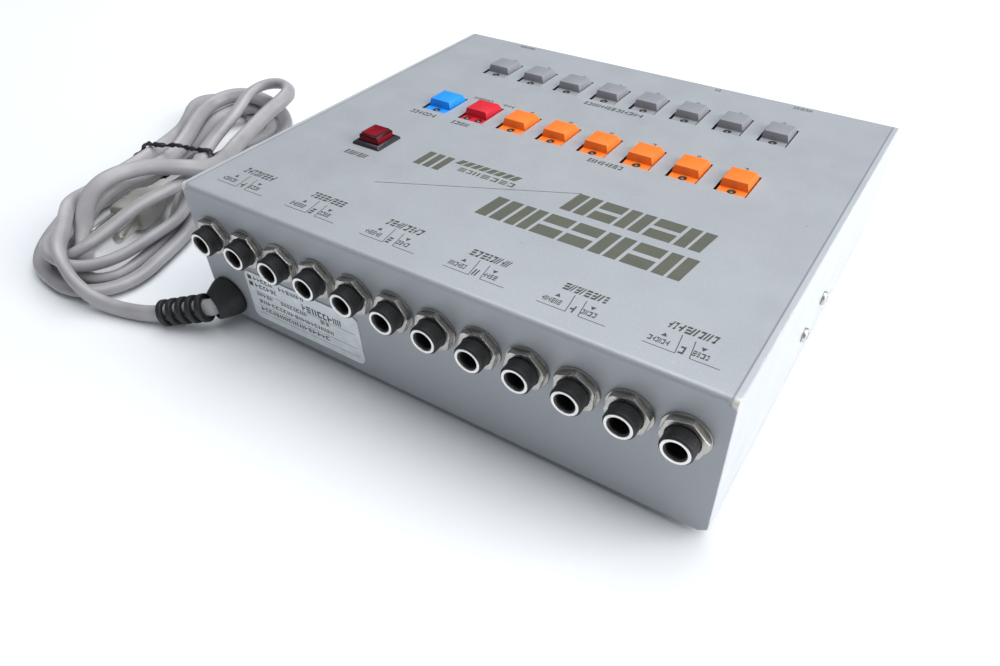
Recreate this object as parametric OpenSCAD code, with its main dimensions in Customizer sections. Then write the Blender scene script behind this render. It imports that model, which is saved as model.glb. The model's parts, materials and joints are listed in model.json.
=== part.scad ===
// Floor effects-loop switcher: a wedge-shaped folded-steel housing with two rows
// of keys, twelve send/return sockets on the rear panel, three sockets on the
// front panel, a lit power button and a mains lead tied in a hank.
// Millimetres. X across the housing, Y towards the rear (socket) panel, Z up.
// Origin: centre of the footprint, on the surface the rubber feet stand on.

/* [Housing] */
// Width of the housing, side to side
body_w = 220; // [219:0.5:226]
// Depth of the housing, front panel to rear panel
body_d = 200; // [198:0.5:204]
// Height of the rear panel
rear_h = 61; // [60:0.5:64]
// Height of the front panel
front_h = 49; // [48:0.5:52]
// Thickness of the sheet steel
sheet_t = 1.2; // [1:0.1:1.4]
// Outside radius of the folds
bend_r = 2; // [1.6:0.1:2.4]
// Height of the rubber feet
foot_h = 3; // [2.5:0.5:4]
// Distance of the feet from the centre, sideways
foot_x = 92; // [88:1:96]
// Distance of the feet from the centre, front to back
foot_y = 82; // [78:1:88]

/* [Keys] */
// Spacing of the keys along a row
key_pitch = 19.6; // [19:0.1:20.4]
// Place of the row of effector keys, from the centre
row_rear_y = -14.5; // [-16:0.5:-12]
// Place of the row of program keys, from the centre
row_front_y = -63.3; // [-66:0.5:-60]
// Width of a key's cut-out in the panel
cut_w = 12.8; // [12.6:0.1:13.4]
// Depth of a key's cut-out in the panel
cut_d = 18.5; // [18.2:0.1:19]
// Side gap between a key and its cut-out
key_gap = 0.4; // [0.3:0.05:0.6]
// Height of the key's raised block above the panel
key_rise = 2.8; // [2:0.1:4]
// How far a key travels when pressed
key_travel = 2.5; // [1.5:0.1:2.5]
// Diameter of an indicator lamp
led_d = 3; // [2.8:0.1:3.1]

/* [Sockets] */
// Spacing of the rear sockets
jack_pitch = 17.78; // [17.6:0.02:18]
// Height of the rear sockets' axis above the bottom of the housing
jack_z = 41.4; // [39:0.2:42.4]
// Height of the front sockets' axis above the bottom of the housing
front_jack_z = 22; // [18:0.5:24]
// Radius of the hole that takes a 6.35 mm plug
jack_bore_r = 3.2; // [3.2:0.01:3.25]
// How far a threaded bush stands out of its panel
bush_out = 8.2; // [7:0.1:9]
// Outside radius of the threaded bush
bush_r = 5.5; // [5.3:0.05:5.6]
// Width across the flats of the hexagon nut
nut_af = 14; // [13.6:0.1:14.4]
// Radius of the round washer
washer_r = 8.1; // [7.8:0.1:8.3]

/* [Power button] */
// Place of the power button, sideways
power_x = 70.3; // [68:0.5:73]
// Place of the power button, front to back
power_y = 31.6; // [28:0.5:34]
// How far the power button travels
power_travel = 2.5; // [1.5:0.1:2.5]

/* [Mains lead] */
// Width of the oval lead
cord_w = 8.4; // [7.6:0.2:8.4]
// Thickness of the oval lead
cord_t = 5.6; // [5:0.2:5.6]
// Height of the tied hank
hank_h = 31; // [28:1:34]

/* [Hidden] */
$fn = 48;

slope = atan((rear_h - front_h) / body_d);
function top_z(y) = foot_h + front_h + (rear_h - front_h) * (y + body_d / 2) / body_d;
function key_x(i) = (i - 4.5) * key_pitch;          // i = 1 ... 8, from -X
function jack_x(i) = (i - 6.5) * jack_pitch;        // i = 1 ... 12, from -X
FRONT_JACK_X = [-70, -30, 74];
inner_x = body_w / 2 - sheet_t;
inner_y = body_d / 2 - sheet_t;
screw_y = [-14, 10.8];
screw_z = foot_h + 15.3;
cord_x = 101;
cord_z = foot_h + 10;

// local frame on the sloping panel: +Z is the panel's outward normal
module on_panel(x, y) translate([x, y, top_z(y)]) rotate([slope, 0, 0]) children();
// local frame on the rear panel or the front panel: +Z points out of the panel
module on_rear(x, z) translate([x, body_d / 2, z]) rotate([-90, 0, 0]) children();
module on_front(x, z) translate([x, -body_d / 2, z]) rotate([90, 0, 0]) children();
module each_jack() {
  for (i = [1:12]) on_rear(jack_x(i), foot_h + jack_z) children();
  for (x = FRONT_JACK_X) on_front(x, foot_h + front_jack_z) children();
}
module each_key() {
  for (i = [1:8]) for (y = [row_rear_y, row_front_y]) on_panel(key_x(i), y) children();
}
module tube(r1, r2, h) difference() { cylinder(r = r1, h = h); translate([0, 0, -1]) cylinder(r = r2, h = h + 2); }
// pan-head screw: the head's underside at z = 0, head upwards, cross recess
module pan_screw(len, head_r = 2.9, head_h = 1.9, r = 1.5) {
  difference() {
    union() {
      cylinder(r = head_r, h = head_h * 0.55);
      translate([0, 0, head_h * 0.55]) cylinder(r1 = head_r, r2 = head_r * 0.62, h = head_h * 0.45);
      translate([0, 0, -len]) cylinder(r = r, h = len + 0.1);
    }
    for (a = [0, 90]) rotate([0, 0, a]) translate([-head_r * 0.52, -0.35, head_h * 0.4]) cube([head_r * 1.04, 0.7, head_h]);
  }
}

// ---------------------------------------------------------------- housing
// side profile of the folded cover in (Y, Z), rr = radius at the folds
module cover_profile(rr, low) {
  cy = body_d / 2 - bend_r;
  cr = [cy, top_z(cy) - bend_r / cos(slope)];
  cf = [-cy, top_z(-cy) - bend_r / cos(slope)];
  n = [-sin(slope), cos(slope)];
  polygon([[cy + rr, low], cr + [rr, 0], cr, cr + rr * n, cf + rr * n, cf, cf - [rr, 0], [-cy - rr, low]]);
  translate(cr) circle(r = rr);
  translate(cf) circle(r = rr);
}
module top_cover() color([0.70, 0.73, 0.76]) difference() {
  rotate([90, 0, 90]) linear_extrude(body_w, center = true) difference() {
    cover_profile(bend_r, foot_h);
    cover_profile(bend_r - sheet_t, foot_h - 5);
  }
  each_key() translate([-cut_w / 2, -cut_d / 2, -4]) cube([cut_w, cut_d, 8]);
  on_panel(power_x, power_y) translate([-6.1, -6.4, -4]) cube([12.2, 12.8, 8]);
  each_jack() translate([0, 0, -4]) cylinder(r = bush_r + 0.15, h = 8);
  on_rear(cord_x, cord_z) translate([0, 0, -4]) cylinder(r = 5.6, h = 8);
  // the lower corners of the front and rear panels are clipped
  for (sx = [-1, 1]) for (sy = [-1, 1]) translate([sx * body_w / 2, sy * body_d / 2, foot_h])
    rotate([90, 0, 0]) linear_extrude(6, center = true) polygon([[-sx * 3, -1], [-sx * 3, 0], [0, 2.2], [sx, 2.2], [sx, -1]]);
}
module base_profile(rr, top) {
  cx = body_w / 2 - bend_r;
  cz = foot_h + bend_r;
  polygon([[-cx - rr, top], [-cx - rr, cz], [-cx, cz], [-cx, cz - rr], [cx, cz - rr], [cx, cz], [cx + rr, cz], [cx + rr, top]]);
  for (s = [-1, 1]) translate([s * cx, cz]) circle(r = rr);
}
module base_chassis() color([0.74, 0.77, 0.80]) difference() {
  rotate([90, 0, 0]) linear_extrude(2 * inner_y - 0.4, center = true) difference() {
    base_profile(bend_r, 90);
    base_profile(bend_r - sheet_t, 95);
  }
  on_panel(0, 0) translate([-200, -200, -sheet_t - 0.3]) cube([400, 400, 80]);
  for (s = [-1, 1]) for (y = screw_y) translate([s * body_w / 2, y, screw_z]) rotate([0, 90, 0]) cylinder(r = 1.7, h = 10, center = true);
  for (x = [-foot_x, foot_x]) for (y = [-foot_y, foot_y]) translate([x, y, 0]) cylinder(r = 1.55, h = 20);
  for (p = BOARD_PTS) translate([p[0], p[1], 0]) cylinder(r = 1.6, h = 20);
  for (p = TR_PTS) translate([p[0], p[1], 0]) cylinder(r = 1.6, h = 20);
  // row of cooling holes under the transformer
  for (i = [-3:3]) translate([TR[0] + i * 7, TR[1] + 28, 0]) cylinder(r = 1.8, h = 20);
}
// angle brackets welded under the cover; the side screws thread into them
module cover_brackets() color([0.78, 0.78, 0.76]) for (s = [-1, 1]) difference() {
  union() {
    intersection() {
      translate([s * (inner_x - 0.1 - 0.6), 0, 50]) cube([1.2, 38, 88], center = true);
      on_panel(0, 0) translate([-150, -60, -120]) cube([300, 120, 120 - sheet_t]);
    }
    intersection() {
      translate([s * (inner_x - 0.1 - 5), 0, 50]) cube([10, 38, 88], center = true);
      on_panel(0, 0) translate([-150, -60, -sheet_t - 1.2]) cube([300, 120, 1.2]);
    }
    for (y = screw_y) translate([s * (inner_x - 1.2), y, screw_z]) rotate([0, -s * 90, 0]) cylinder(r = 3, h = 3);
  }
  for (y = screw_y) translate([s * inner_x, y, screw_z]) rotate([0, 90, 0]) cylinder(r = 1.52, h = 16, center = true);
}
module side_screws() color([0.80, 0.80, 0.78]) for (s = [-1, 1]) for (y = screw_y)
  translate([s * body_w / 2, y, screw_z]) rotate([0, s * 90, 0]) rotate([0, 0, 25 * y]) pan_screw(6);
module rubber_feet() color([0.10, 0.10, 0.11]) for (x = [-foot_x, foot_x]) for (y = [-foot_y, foot_y]) translate([x, y, 0]) difference() {
  cylinder(r1 = 6, r2 = 7, h = foot_h);
  translate([0, 0, -1]) cylinder(r = 1.7, h = foot_h + 2);
  translate([0, 0, -1]) cylinder(r = 3.3, h = foot_h);
}
module foot_screws() color([0.80, 0.80, 0.78]) for (x = [-foot_x, foot_x]) for (y = [-foot_y, foot_y])
  translate([x, y, foot_h - 1]) rotate([180, 0, 0]) pan_screw(6, 2.9, 1.3);

// ---------------------------------------------------------------- keys
// one moulded key: a flat apron with the lamp hole, a raised finger block,
// a skirt through the panel and a stem into the switch
key_w = cut_w - 2 * key_gap;
key_d = cut_d - 0.4;
apron_z = -0.4;
face_y = 4.3;
stem_y = -2.4;
board_z = -16;
module slab(x0, x1, y0, y1, z) translate([x0, y0, z]) cube([x1 - x0, y1 - y0, 0.01]);
module keycap(c, lamps = [0]) color(c) {
  w = key_w / 2; d = key_d / 2; t = 0.95;
  difference() {
    union() {
      translate([-w, -d, -4.5]) cube([2 * w, 2 * d, 4.5 + apron_z]);
      hull() {
        slab(-w, w, -d, face_y, apron_z - 0.02);
        slab(-w + 0.35, w - 0.35, -d + 0.55, face_y - 0.1, apron_z + 0.9);
        slab(-4.6, 4.6, -6.4, 3.75, key_rise - 0.01);
      }
    }
    translate([-w + t, -d + t, -5]) cube([2 * w - 2 * t, 2 * d - 2 * t, 3.4]);
    hull() {
      slab(-w + t, w - t, -d + t, face_y - t, -1.7);
      slab(-3.6, 3.6, -5.4, 2.8, key_rise - 1.3);
    }
    for (x = lamps) translate([x, 6, -6]) cylinder(r = led_d / 2 + 0.3, h = 8);
  }
  translate([0, stem_y, -12.8]) cylinder(r = 2.5, h = 12.8 + key_rise - 0.9);
}
module program_key(i) on_panel(key_x(i), row_front_y) keycap([0.55, 0.56, 0.58]);
module effector_key(i) on_panel(key_x(i), row_rear_y) keycap([1.0, 0.50, 0.13]);
module mode_key() on_panel(key_x(7), row_rear_y) keycap([0.80, 0.06, 0.16], [-2.9, 2.9]);
module bypass_key() on_panel(key_x(8), row_rear_y) keycap([0.12, 0.55, 0.92]);
module key_switch_housings() color([0.12, 0.12, 0.13]) each_key() translate([0, stem_y, board_z]) difference() {
  translate([-5.5, -5.5, 0]) cube([11, 11, 8]);
  translate([0, 0, -1]) cylinder(r = 2.6, h = 10);
}
module key_contact_domes() color([0.86, 0.80, 0.55]) each_key() translate([0, stem_y, board_z]) cylinder(r1 = 2.3, r2 = 1.4, h = 0.4);
module indicator_leds() color([0.42, 0.45, 0.30]) {
  for (i = [1:8]) on_panel(key_x(i), row_front_y) led(0);
  for (i = [1:6]) on_panel(key_x(i), row_rear_y) led(0);
  for (x = [-2.9, 2.9]) on_panel(key_x(7), row_rear_y) led(x);
  on_panel(key_x(8), row_rear_y) led(0);
}
module led(x) translate([x, 6, 0]) {
  r = led_d / 2;
  translate([0, 0, -0.9 - r]) difference() { sphere(r = r); translate([-5, -5, -10]) cube([10, 10, 10]); }
  translate([0, 0, -5.5]) cylinder(r = r, h = 4.6 - r + 0.01);
  for (s = [-0.9, 0.9]) translate([s - 0.25, -0.25, board_z]) cube([0.5, 0.5, 10.6]);
}
SPACERS = [for (x = [-78.4, 0, 78.4]) for (y = [-38.9, -80]) [x, y]];
module key_board() color([0.62, 0.52, 0.26]) on_panel(0, -39) difference() {
  translate([-84, -45, board_z - 1.6]) cube([168, 82, 1.6]);
  for (p = SPACERS) translate([p[0], p[1] + 39, board_z - 5]) cylinder(r = 1.6, h = 10);
}
module key_board_spacers() color([0.80, 0.72, 0.42]) on_panel(0, -39) for (p = SPACERS) translate([p[0], p[1] + 39, board_z]) difference() {
  cylinder(r = 2.9, h = -board_z - sheet_t, $fn = 6);
  translate([0, 0, -1]) cylinder(r = 1.52, h = 8);
}

// ---------------------------------------------------------------- sockets
module jack_housings() color([0.08, 0.08, 0.09]) each_jack() difference() {
  union() {
    translate([-7.5, -7.5, -sheet_t - 24]) cube([15, 15, 24]);
    translate([0, 0, -sheet_t - 0.1]) cylinder(r = bush_r, h = sheet_t + bush_out - 0.7);
    translate([0, 0, bush_out - 0.8]) cylinder(r1 = bush_r, r2 = bush_r - 0.6, h = 0.6);
  }
  translate([0, 0, -40]) cylinder(r = 4.6, h = 60);
}
module jack_ferrules() color([0.82, 0.82, 0.80]) each_jack() translate([0, 0, 0.4]) tube(4.6, jack_bore_r, bush_out - 0.4);
module jack_nuts() color([0.70, 0.69, 0.65]) each_jack() translate([0, 0, 0.8]) difference() {
  intersection() {
    rotate([0, 0, 15]) cylinder(r = nut_af / 2 / cos(30), h = 2.2, $fn = 6);
    translate([0, 0, -0.1]) cylinder(r1 = nut_af / 2 + 2.6, r2 = nut_af / 2 + 0.35, h = 2.4);
  }
  translate([0, 0, -1]) cylinder(r = bush_r + 0.02, h = 5);
}
module jack_washers() color([0.72, 0.71, 0.67]) each_jack() tube(washer_r, bush_r + 0.1, 0.8);
// leaf contact inside each socket, bent towards the plug's tip
module jack_contacts() color([0.86, 0.76, 0.45]) each_jack() rotate([90, 0, 0]) translate([0, 0, -1.5]) linear_extrude(3)
  polygon([[4, -sheet_t - 24], [4.3, -sheet_t - 24], [4.1, -14], [3.7, -11.5], [4, -9.5], [3.7, -9.4], [3.4, -11.5], [3.8, -14]]);
module rear_jack_board() color([0.62, 0.52, 0.26]) translate([-106, inner_y - 24 - 1.6, foot_h + jack_z - 10]) cube([212, 1.6, 19.5]);

// ---------------------------------------------------------------- power button
module power_button() color([0.75, 0.04, 0.12]) on_panel(power_x, power_y) difference() {
  union() {
    translate([-4.9, -5.3, -5]) cube([9.8, 10.6, 8]);
    hull() {
      slab(-4.9, 4.9, -5.3, 5.3, 2.9);
      slab(-4.9, 4.9, -5.3, 5.3, 3.6);
      slab(-4.1, 4.1, -4.5, 4.5, 4.59);
    }
  }
  translate([-3.7, -4.1, -6]) cube([7.4, 8.2, 9.2]);
}
module power_bezel() color([0.16, 0.16, 0.17]) on_panel(power_x, power_y) difference() {
  hull() {
    slab(-7.1, 7.1, -7.4, 7.4, 0);
    slab(-7.1, 7.1, -7.4, 7.4, 0.7);
    slab(-6.4, 6.4, -6.7, 6.7, 1.49);
  }
  translate([-5.2, -5.6, -1]) cube([10.4, 11.2, 4]);
}
module power_switch_housing() color([0.10, 0.10, 0.11]) on_panel(power_x, power_y) {
  difference() {
    translate([-6, -6.3, -20]) cube([12, 12.6, 20]);
    translate([-5.2, -5.6, -9]) cube([10.4, 11.2, 10]);
  }
  for (x = [-3.5, 0.5]) for (y = [-4, 1]) translate([x, y, -25]) cube([3, 0.6, 5.01]);
}

// ---------------------------------------------------------------- inside
BOARD = [-98, 22, -48, 62];
BOARD_PTS = [for (x = [BOARD[0] + 5, BOARD[1] - 5]) for (y = [BOARD[2] + 5, BOARD[3] - 5]) [x, y]];
board_top = foot_h + sheet_t + 9;
TR = [62, 10];
TR_PTS = [[TR[0] - 28, TR[1]], [TR[0] + 28, TR[1]]];
module main_board() color([0.16, 0.40, 0.24]) difference() {
  translate([BOARD[0], BOARD[2], board_top - 1.6]) cube([BOARD[1] - BOARD[0], BOARD[3] - BOARD[2], 1.6]);
  for (p = BOARD_PTS) translate([p[0], p[1], 0]) cylinder(r = 1.6, h = 40);
}
module main_board_standoffs() color([0.80, 0.72, 0.42]) for (p = BOARD_PTS) translate([p[0], p[1], foot_h + sheet_t]) difference() {
  cylinder(r = 3, h = 7.4, $fn = 6);
  translate([0, 0, -1]) cylinder(r = 1.53, h = 10);
}
module board_screws() color([0.80, 0.80, 0.78]) {
  for (p = BOARD_PTS) translate([p[0], p[1], board_top]) pan_screw(5, 2.7, 1.8);
  for (p = BOARD_PTS) translate([p[0], p[1], foot_h]) rotate([180, 0, 0]) pan_screw(4.2, 2.7, 1.8);
  for (p = SPACERS) on_panel(p[0], -39) translate([0, p[1] + 39, board_z - 1.6]) rotate([180, 0, 0]) pan_screw(5, 2.7, 1.8);
}
CHIPS = [for (i = [0:3]) for (j = [0:1]) [-84 + i * 20, -26 + j * 34]];
module logic_chips() color([0.09, 0.09, 0.10]) for (c = CHIPS) translate([c[0], c[1], board_top]) {
  translate([-3.2, -9.5, 1]) cube([6.4, 19, 3.4]);
  for (k = [-4:1:4]) translate([-3.9, k * 2 - 0.25, 0]) cube([7.8, 0.5, 1.6]);
}
module filter_capacitors() color([0.14, 0.20, 0.42]) for (i = [0:2]) translate([9, -30 + i * 16, board_top]) {
  cylinder(r = 6.2, h = 22);
}
module backup_battery() color([0.20, 0.50, 0.30]) translate([-82, 40, board_top + 7.2]) rotate([0, 90, 0]) cylinder(r = 7.2, h = 44);
module ribbon_cable() color([0.60, 0.62, 0.64]) translate([-32, 0, 0]) rotate([90, 0, 90]) linear_extrude(24)
  polygon([[-3.5, board_top], [-2.6, board_top], [-2.6, 22], [2.4, 27], [2.4, 33], [-6.1, 39.2], [-7.5, 39.2], [1.5, 32.6], [1.5, 27.4], [-3.5, 22.4]]);
module transformer_core() color([0.38, 0.38, 0.40]) {
  z0 = foot_h + sheet_t;
  difference() {
    translate([TR[0] - 21, TR[1] - 8, z0]) cube([42, 16, 34]);
    for (s = [-1, 1]) translate([TR[0] + s * 10.5 - 3.5, TR[1] - 10, z0 + 7]) cube([7, 20, 20]);
  }
  difference() {
    for (s = [-1, 1]) translate([TR[0] + s * 28 - 7.05, TR[1] - 8, z0]) cube([14.1, 16, 1.5]);
    for (p = TR_PTS) translate([p[0], p[1], 0]) cylinder(r = 1.6, h = 40);
  }
}
module transformer_coil() color([0.80, 0.74, 0.50]) {
  z0 = foot_h + sheet_t;
  difference() {
    union() {
      translate([TR[0] - 13.7, TR[1] - 15, z0 + 7.3]) cube([27.4, 6.7, 19.4]);
      translate([TR[0] - 13.7, TR[1] + 8.3, z0 + 7.3]) cube([27.4, 6.7, 19.4]);
      for (s = [-1, 1]) translate([TR[0] + s * 10.5 - 3.2, TR[1] - 9, z0 + 7.3]) cube([6.4, 18, 19.4]);
    }
  }
}
module transformer_screws() color([0.80, 0.80, 0.78]) for (p = TR_PTS) translate([p[0], p[1], foot_h + sheet_t + 1.5]) pan_screw(2.9);
module fuse_holder() color([0.10, 0.10, 0.11]) translate([90, 52, foot_h + sheet_t]) {
  difference() {
    translate([-6, -14, 0]) cube([12, 28, 5]);
    translate([0, -15, 8]) rotate([-90, 0, 0]) cylinder(r = 4.2, h = 30);
  }
  for (y = [-11, 8]) difference() {
    translate([-4, y, 4.9]) cube([8, 3, 6]);
    translate([0, y - 1, 8]) rotate([-90, 0, 0]) cylinder(r = 2.6, h = 5);
    translate([-1.6, y - 1, 8]) cube([3.2, 5, 5]);
  }
}
module fuse() color([0.85, 0.86, 0.86]) translate([90, 41.5, foot_h + sheet_t + 8]) rotate([-90, 0, 0]) {
  cylinder(r = 2.55, h = 5);
  translate([0, 0, 4.9]) cylinder(r = 2.3, h = 11.2);
  translate([0, 0, 16]) cylinder(r = 2.55, h = 5);
}
module label_plate() color([0.86, 0.88, 0.89]) translate([28.6, body_d / 2 + 0.4, foot_h + 4.8]) rotate([90, 0, 0]) linear_extrude(0.4) {
  w = 58.8; h = 24; r = 3;
  translate([r, 0]) square([w - 2 * r, h]);
  translate([0, r]) square([w, h - 2 * r]);
  for (x = [r, w - r]) for (y = [r, h - r]) translate([x, y]) circle(r = r);
}

// ---------------------------------------------------------------- mains lead
// rubber boot: flange inside the panel, neck in its hole, bulging cone outside
module cord_boot() color([0.07, 0.07, 0.08]) on_rear(cord_x, cord_z) {
  translate([0, 0, -sheet_t - 2]) cylinder(r = 6.6, h = 2);
  translate([0, 0, -sheet_t - 0.1]) cylinder(r = 5.5, h = sheet_t + 0.2);
  cylinder(r = 8.8, h = 2);
  translate([0, 0, 1.99]) cylinder(r1 = 8.8, r2 = 5.4, h = 7.01);
}
// ribbed sleeve that lets the lead bend away from the boot
SLEEVE = [[103, 109.2, 11.8], [129.6, 121.2, 4.8]];
SR_N = 6;
function unit(v) = v / norm(v);
module along(p, d) {
  a = unit(d);
  translate(p) rotate([0, acos(a[2]), atan2(a[1], a[0])]) children();
}
sleeve_dir = unit(SLEEVE[1] - SLEEVE[0]);
sleeve_len = norm(SLEEVE[1] - SLEEVE[0]);
module strain_relief() color([0.09, 0.09, 0.10]) along(SLEEVE[0], sleeve_dir) {
  cylinder(r1 = 4.7, r2 = 4.3, h = sleeve_len);
  for (i = [0:4]) translate([0, 0, 3.6 + i * 5.5]) cylinder(r = 5.2 - i * 0.1, h = 3.5);
}
// route of the lead from the sleeve to the hank, then tucked into its near end
ROUTE = [
  [129.6, 121.2, 4.8], [135.2, 122.8, 4.4], [144.1, 125.2, 4.4], [151.6, 126.5, 4.5],
  [158.6, 127.6, 5.4], [164.1, 128.4, 8], [168.9, 128.7, 11.3], [173.7, 128, 14.3],
  [178, 126.2, 16.8], [182.6, 123, 18.4], [188.7, 118.1, 19], [196.3, 111.4, 18.6]
];
SIDES = 8;
function seg_dir(P, i) = unit(P[min(i + 1, len(P) - 1)] - P[max(i - 1, 0)]);
// an oval ring square to the route, standing on its edge
function ring(c, d, a, b) = let(u = unit(cross([0, 0, 1], d)), v = cross(d, u)) [for (k = [0:SIDES - 1]) c + a * cos((k + 0.5) * 360 / SIDES) * u + b * sin((k + 0.5) * 360 / SIDES) * v];
module sweep(P, a, b) {
  n = len(P);
  pts = [for (i = [0:n - 1]) each ring(P[i], seg_dir(P, i), a, b)];
  faces = concat(
    [[for (k = [0:SIDES - 1]) k]],
    [for (i = [0:n - 2]) for (k = [0:SIDES - 1]) let(p = i * SIDES + k, q = i * SIDES + (k + 1) % SIDES) [p, p + SIDES, q + SIDES, q]],
    [[for (k = [SIDES - 1:-1:0]) (n - 1) * SIDES + k]]
  );
  polyhedron(points = pts, faces = faces, convexity = 6);
}
module cord_lead() color([0.66, 0.65, 0.63]) sweep(ROUTE, cord_t / 2 / cos(180 / SIDES), cord_w / 2 / cos(180 / SIDES));
// outline of the tied hank: two lobes and a narrow waist
NEAR_C = [199, 86];
WAIST_C = [213, 37];
FAR_C = [222.5, -8];
hank_dir = unit(FAR_C - NEAR_C);
PLUG = [203.5, 50];
module hank_outline() {
  hull() { translate(NEAR_C) circle(r = 44, $fn = 40); translate(WAIST_C) circle(r = 24, $fn = 32); }
  hull() { translate(FAR_C) circle(r = 40, $fn = 40); translate(WAIST_C) circle(r = 24, $fn = 32); }
}
// pocket in the near lobe, where the plug lies between the turns
module plug_pocket(grow) translate([PLUG[0], PLUG[1], 0]) rotate([0, 0, atan2(-hank_dir[1], -hank_dir[0])]) translate([0, -11 - grow, 0]) square([62 + grow, 22 + 2 * grow]);
module cord_hank() color([0.66, 0.65, 0.63]) linear_extrude(hank_h) difference() {
  hank_outline();
  plug_pocket(0);
}
module twist_tie() color([0.08, 0.08, 0.09]) translate([WAIST_C[0], WAIST_C[1], 0]) rotate([0, 0, atan2(hank_dir[1], hank_dir[0])]) rotate([90, 0, 90]) linear_extrude(3, center = true) difference() {
  translate([-27, 0]) square([54, hank_h + 1.2]);
  translate([-25.6, 0.8]) square([51.2, hank_h - 1]);
}
// two-pin plug: soft collar, flat body and two flat blades, lying flat
module at_plug() translate([PLUG[0], PLUG[1], 8.2]) rotate([0, 0, atan2(-hank_dir[1], -hank_dir[0])]) children();
module plug_body() color([0.72, 0.72, 0.70]) at_plug() {
  rotate([0, 90, 0]) cylinder(r1 = 4.2, r2 = 5.2, h = 12);
  hull() {
    translate([11, -6, -5.2]) cube([0.1, 12, 10.4]);
    translate([18, -10, -6.5]) cube([0.1, 20, 13]);
    translate([31, -10, -6.5]) cube([2, 20, 13]);
  }
}
module plug_blades() color([0.80, 0.78, 0.70]) at_plug() for (s = [-1, 1]) translate([33, s * 6.35 - 0.75, -3.1]) difference() {
  hull() { cube([13, 1.5, 6.2]); translate([16, 0.35, 1.2]) cube([1.5, 0.8, 3.8]); }
  translate([12.5, -1, 3.1]) rotate([-90, 0, 0]) cylinder(r = 1.5, h = 5);
}

top_cover();
base_chassis();
cover_brackets();
side_screws();
rubber_feet();
foot_screws();
program_key(1);  // program_key_1
program_key(2);  // program_key_2
program_key(3);  // program_key_3
program_key(4);  // program_key_4
program_key(5);  // program_key_5
program_key(6);  // program_key_6
program_key(7);  // program_key_7
program_key(8);  // program_key_8
effector_key(1);  // effector_key_a
effector_key(2);  // effector_key_b
effector_key(3);  // effector_key_c
effector_key(4);  // effector_key_d
effector_key(5);  // effector_key_e
effector_key(6);  // effector_key_f
mode_key();
bypass_key();
power_button();
power_bezel();
power_switch_housing();
jack_housings();
jack_ferrules();
jack_nuts();
jack_washers();
jack_contacts();
rear_jack_board();
key_board();
key_board_spacers();
key_switch_housings();
key_contact_domes();
indicator_leds();
main_board();
main_board_standoffs();
board_screws();
logic_chips();
filter_capacitors();
backup_battery();
ribbon_cable();
transformer_core();
transformer_coil();
transformer_screws();
fuse_holder();
fuse();
label_plate();
cord_boot();
strain_relief();
cord_lead();
cord_hank();
twist_tie();
plug_body();
plug_blades();
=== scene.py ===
import bpy, bmesh, json, math, random
from mathutils import Vector, Matrix


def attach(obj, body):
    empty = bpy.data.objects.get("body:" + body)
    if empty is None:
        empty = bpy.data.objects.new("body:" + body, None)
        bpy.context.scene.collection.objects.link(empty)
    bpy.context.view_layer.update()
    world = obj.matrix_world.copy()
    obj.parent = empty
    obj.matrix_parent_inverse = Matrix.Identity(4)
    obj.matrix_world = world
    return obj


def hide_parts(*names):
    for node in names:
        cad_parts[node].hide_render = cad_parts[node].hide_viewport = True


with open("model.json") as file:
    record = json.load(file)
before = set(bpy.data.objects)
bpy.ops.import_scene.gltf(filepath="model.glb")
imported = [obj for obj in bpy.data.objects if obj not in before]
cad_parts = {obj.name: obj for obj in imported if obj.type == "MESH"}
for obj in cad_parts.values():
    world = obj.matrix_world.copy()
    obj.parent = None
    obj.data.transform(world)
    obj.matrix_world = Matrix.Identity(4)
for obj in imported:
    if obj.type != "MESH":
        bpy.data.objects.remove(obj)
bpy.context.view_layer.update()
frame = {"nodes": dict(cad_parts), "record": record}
scene = bpy.context.scene
NODE = frame["nodes"]
MM = 0.001
RAD = math.radians

# ------------------------------------------------------------- camera
cam_data = bpy.data.cameras.new("camera")
cam_data.sensor_fit = "HORIZONTAL"
cam_data.sensor_width = 36.0
cam_data.lens = 28.23
cam_data.clip_start = 0.01
cam_data.clip_end = 30.0
cam = bpy.data.objects.new("camera", cam_data)
scene.collection.objects.link(cam)
cx = Vector((-0.8408074, -0.54035945, -0.0324744))
cy = Vector((0.34403341, -0.57971123, 0.7386311))
cz = Vector((-0.41795206, 0.60987422, 0.67332719))
cam.matrix_world = Matrix(((cx.x, cy.x, cz.x, -0.13694), (cx.y, cy.y, cz.y, 0.24953), (cx.z, cy.z, cz.z, 0.21898), (0, 0, 0, 1)))
scene.camera = cam

# ------------------------------------------------------------- light
world = bpy.data.worlds.new("sky")
scene.world = world
world.use_nodes = True
bg = world.node_tree.nodes["Background"]
bg.inputs[0].default_value = (0.86, 0.93, 1.0, 1)
bg.inputs[1].default_value = 0.20
scene.view_settings.view_transform = "Standard"
scene.view_settings.look = "None"


def area(name, loc, aim, size, power, colour):
    d = bpy.data.lights.new(name, "AREA")
    d.shape = "RECTANGLE"
    d.size, d.size_y = size
    d.energy = power
    d.color = colour
    o = bpy.data.objects.new(name, d)
    scene.collection.objects.link(o)
    o.location = loc
    o.rotation_euler = (Vector(aim) - Vector(loc)).to_track_quat("-Z", "Y").to_euler()
    return o


area("window", (-1.9, -0.5, 0.9), (0, 0, 0.02), (1.8, 1.6), 46, (1.0, 0.99, 0.975))
area("ceiling", (-0.1, -0.45, 1.9), (0, 0, 0), (2.6, 2.0), 47, (0.965, 0.98, 1.0))


# ------------------------------------------------------------- materials
def srgb(r, g, b):
    def c(v):
        v /= 255.0
        return v / 12.92 if v <= 0.04045 else ((v + 0.055) / 1.055) ** 2.4
    return (c(r), c(g), c(b), 1.0)


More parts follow.
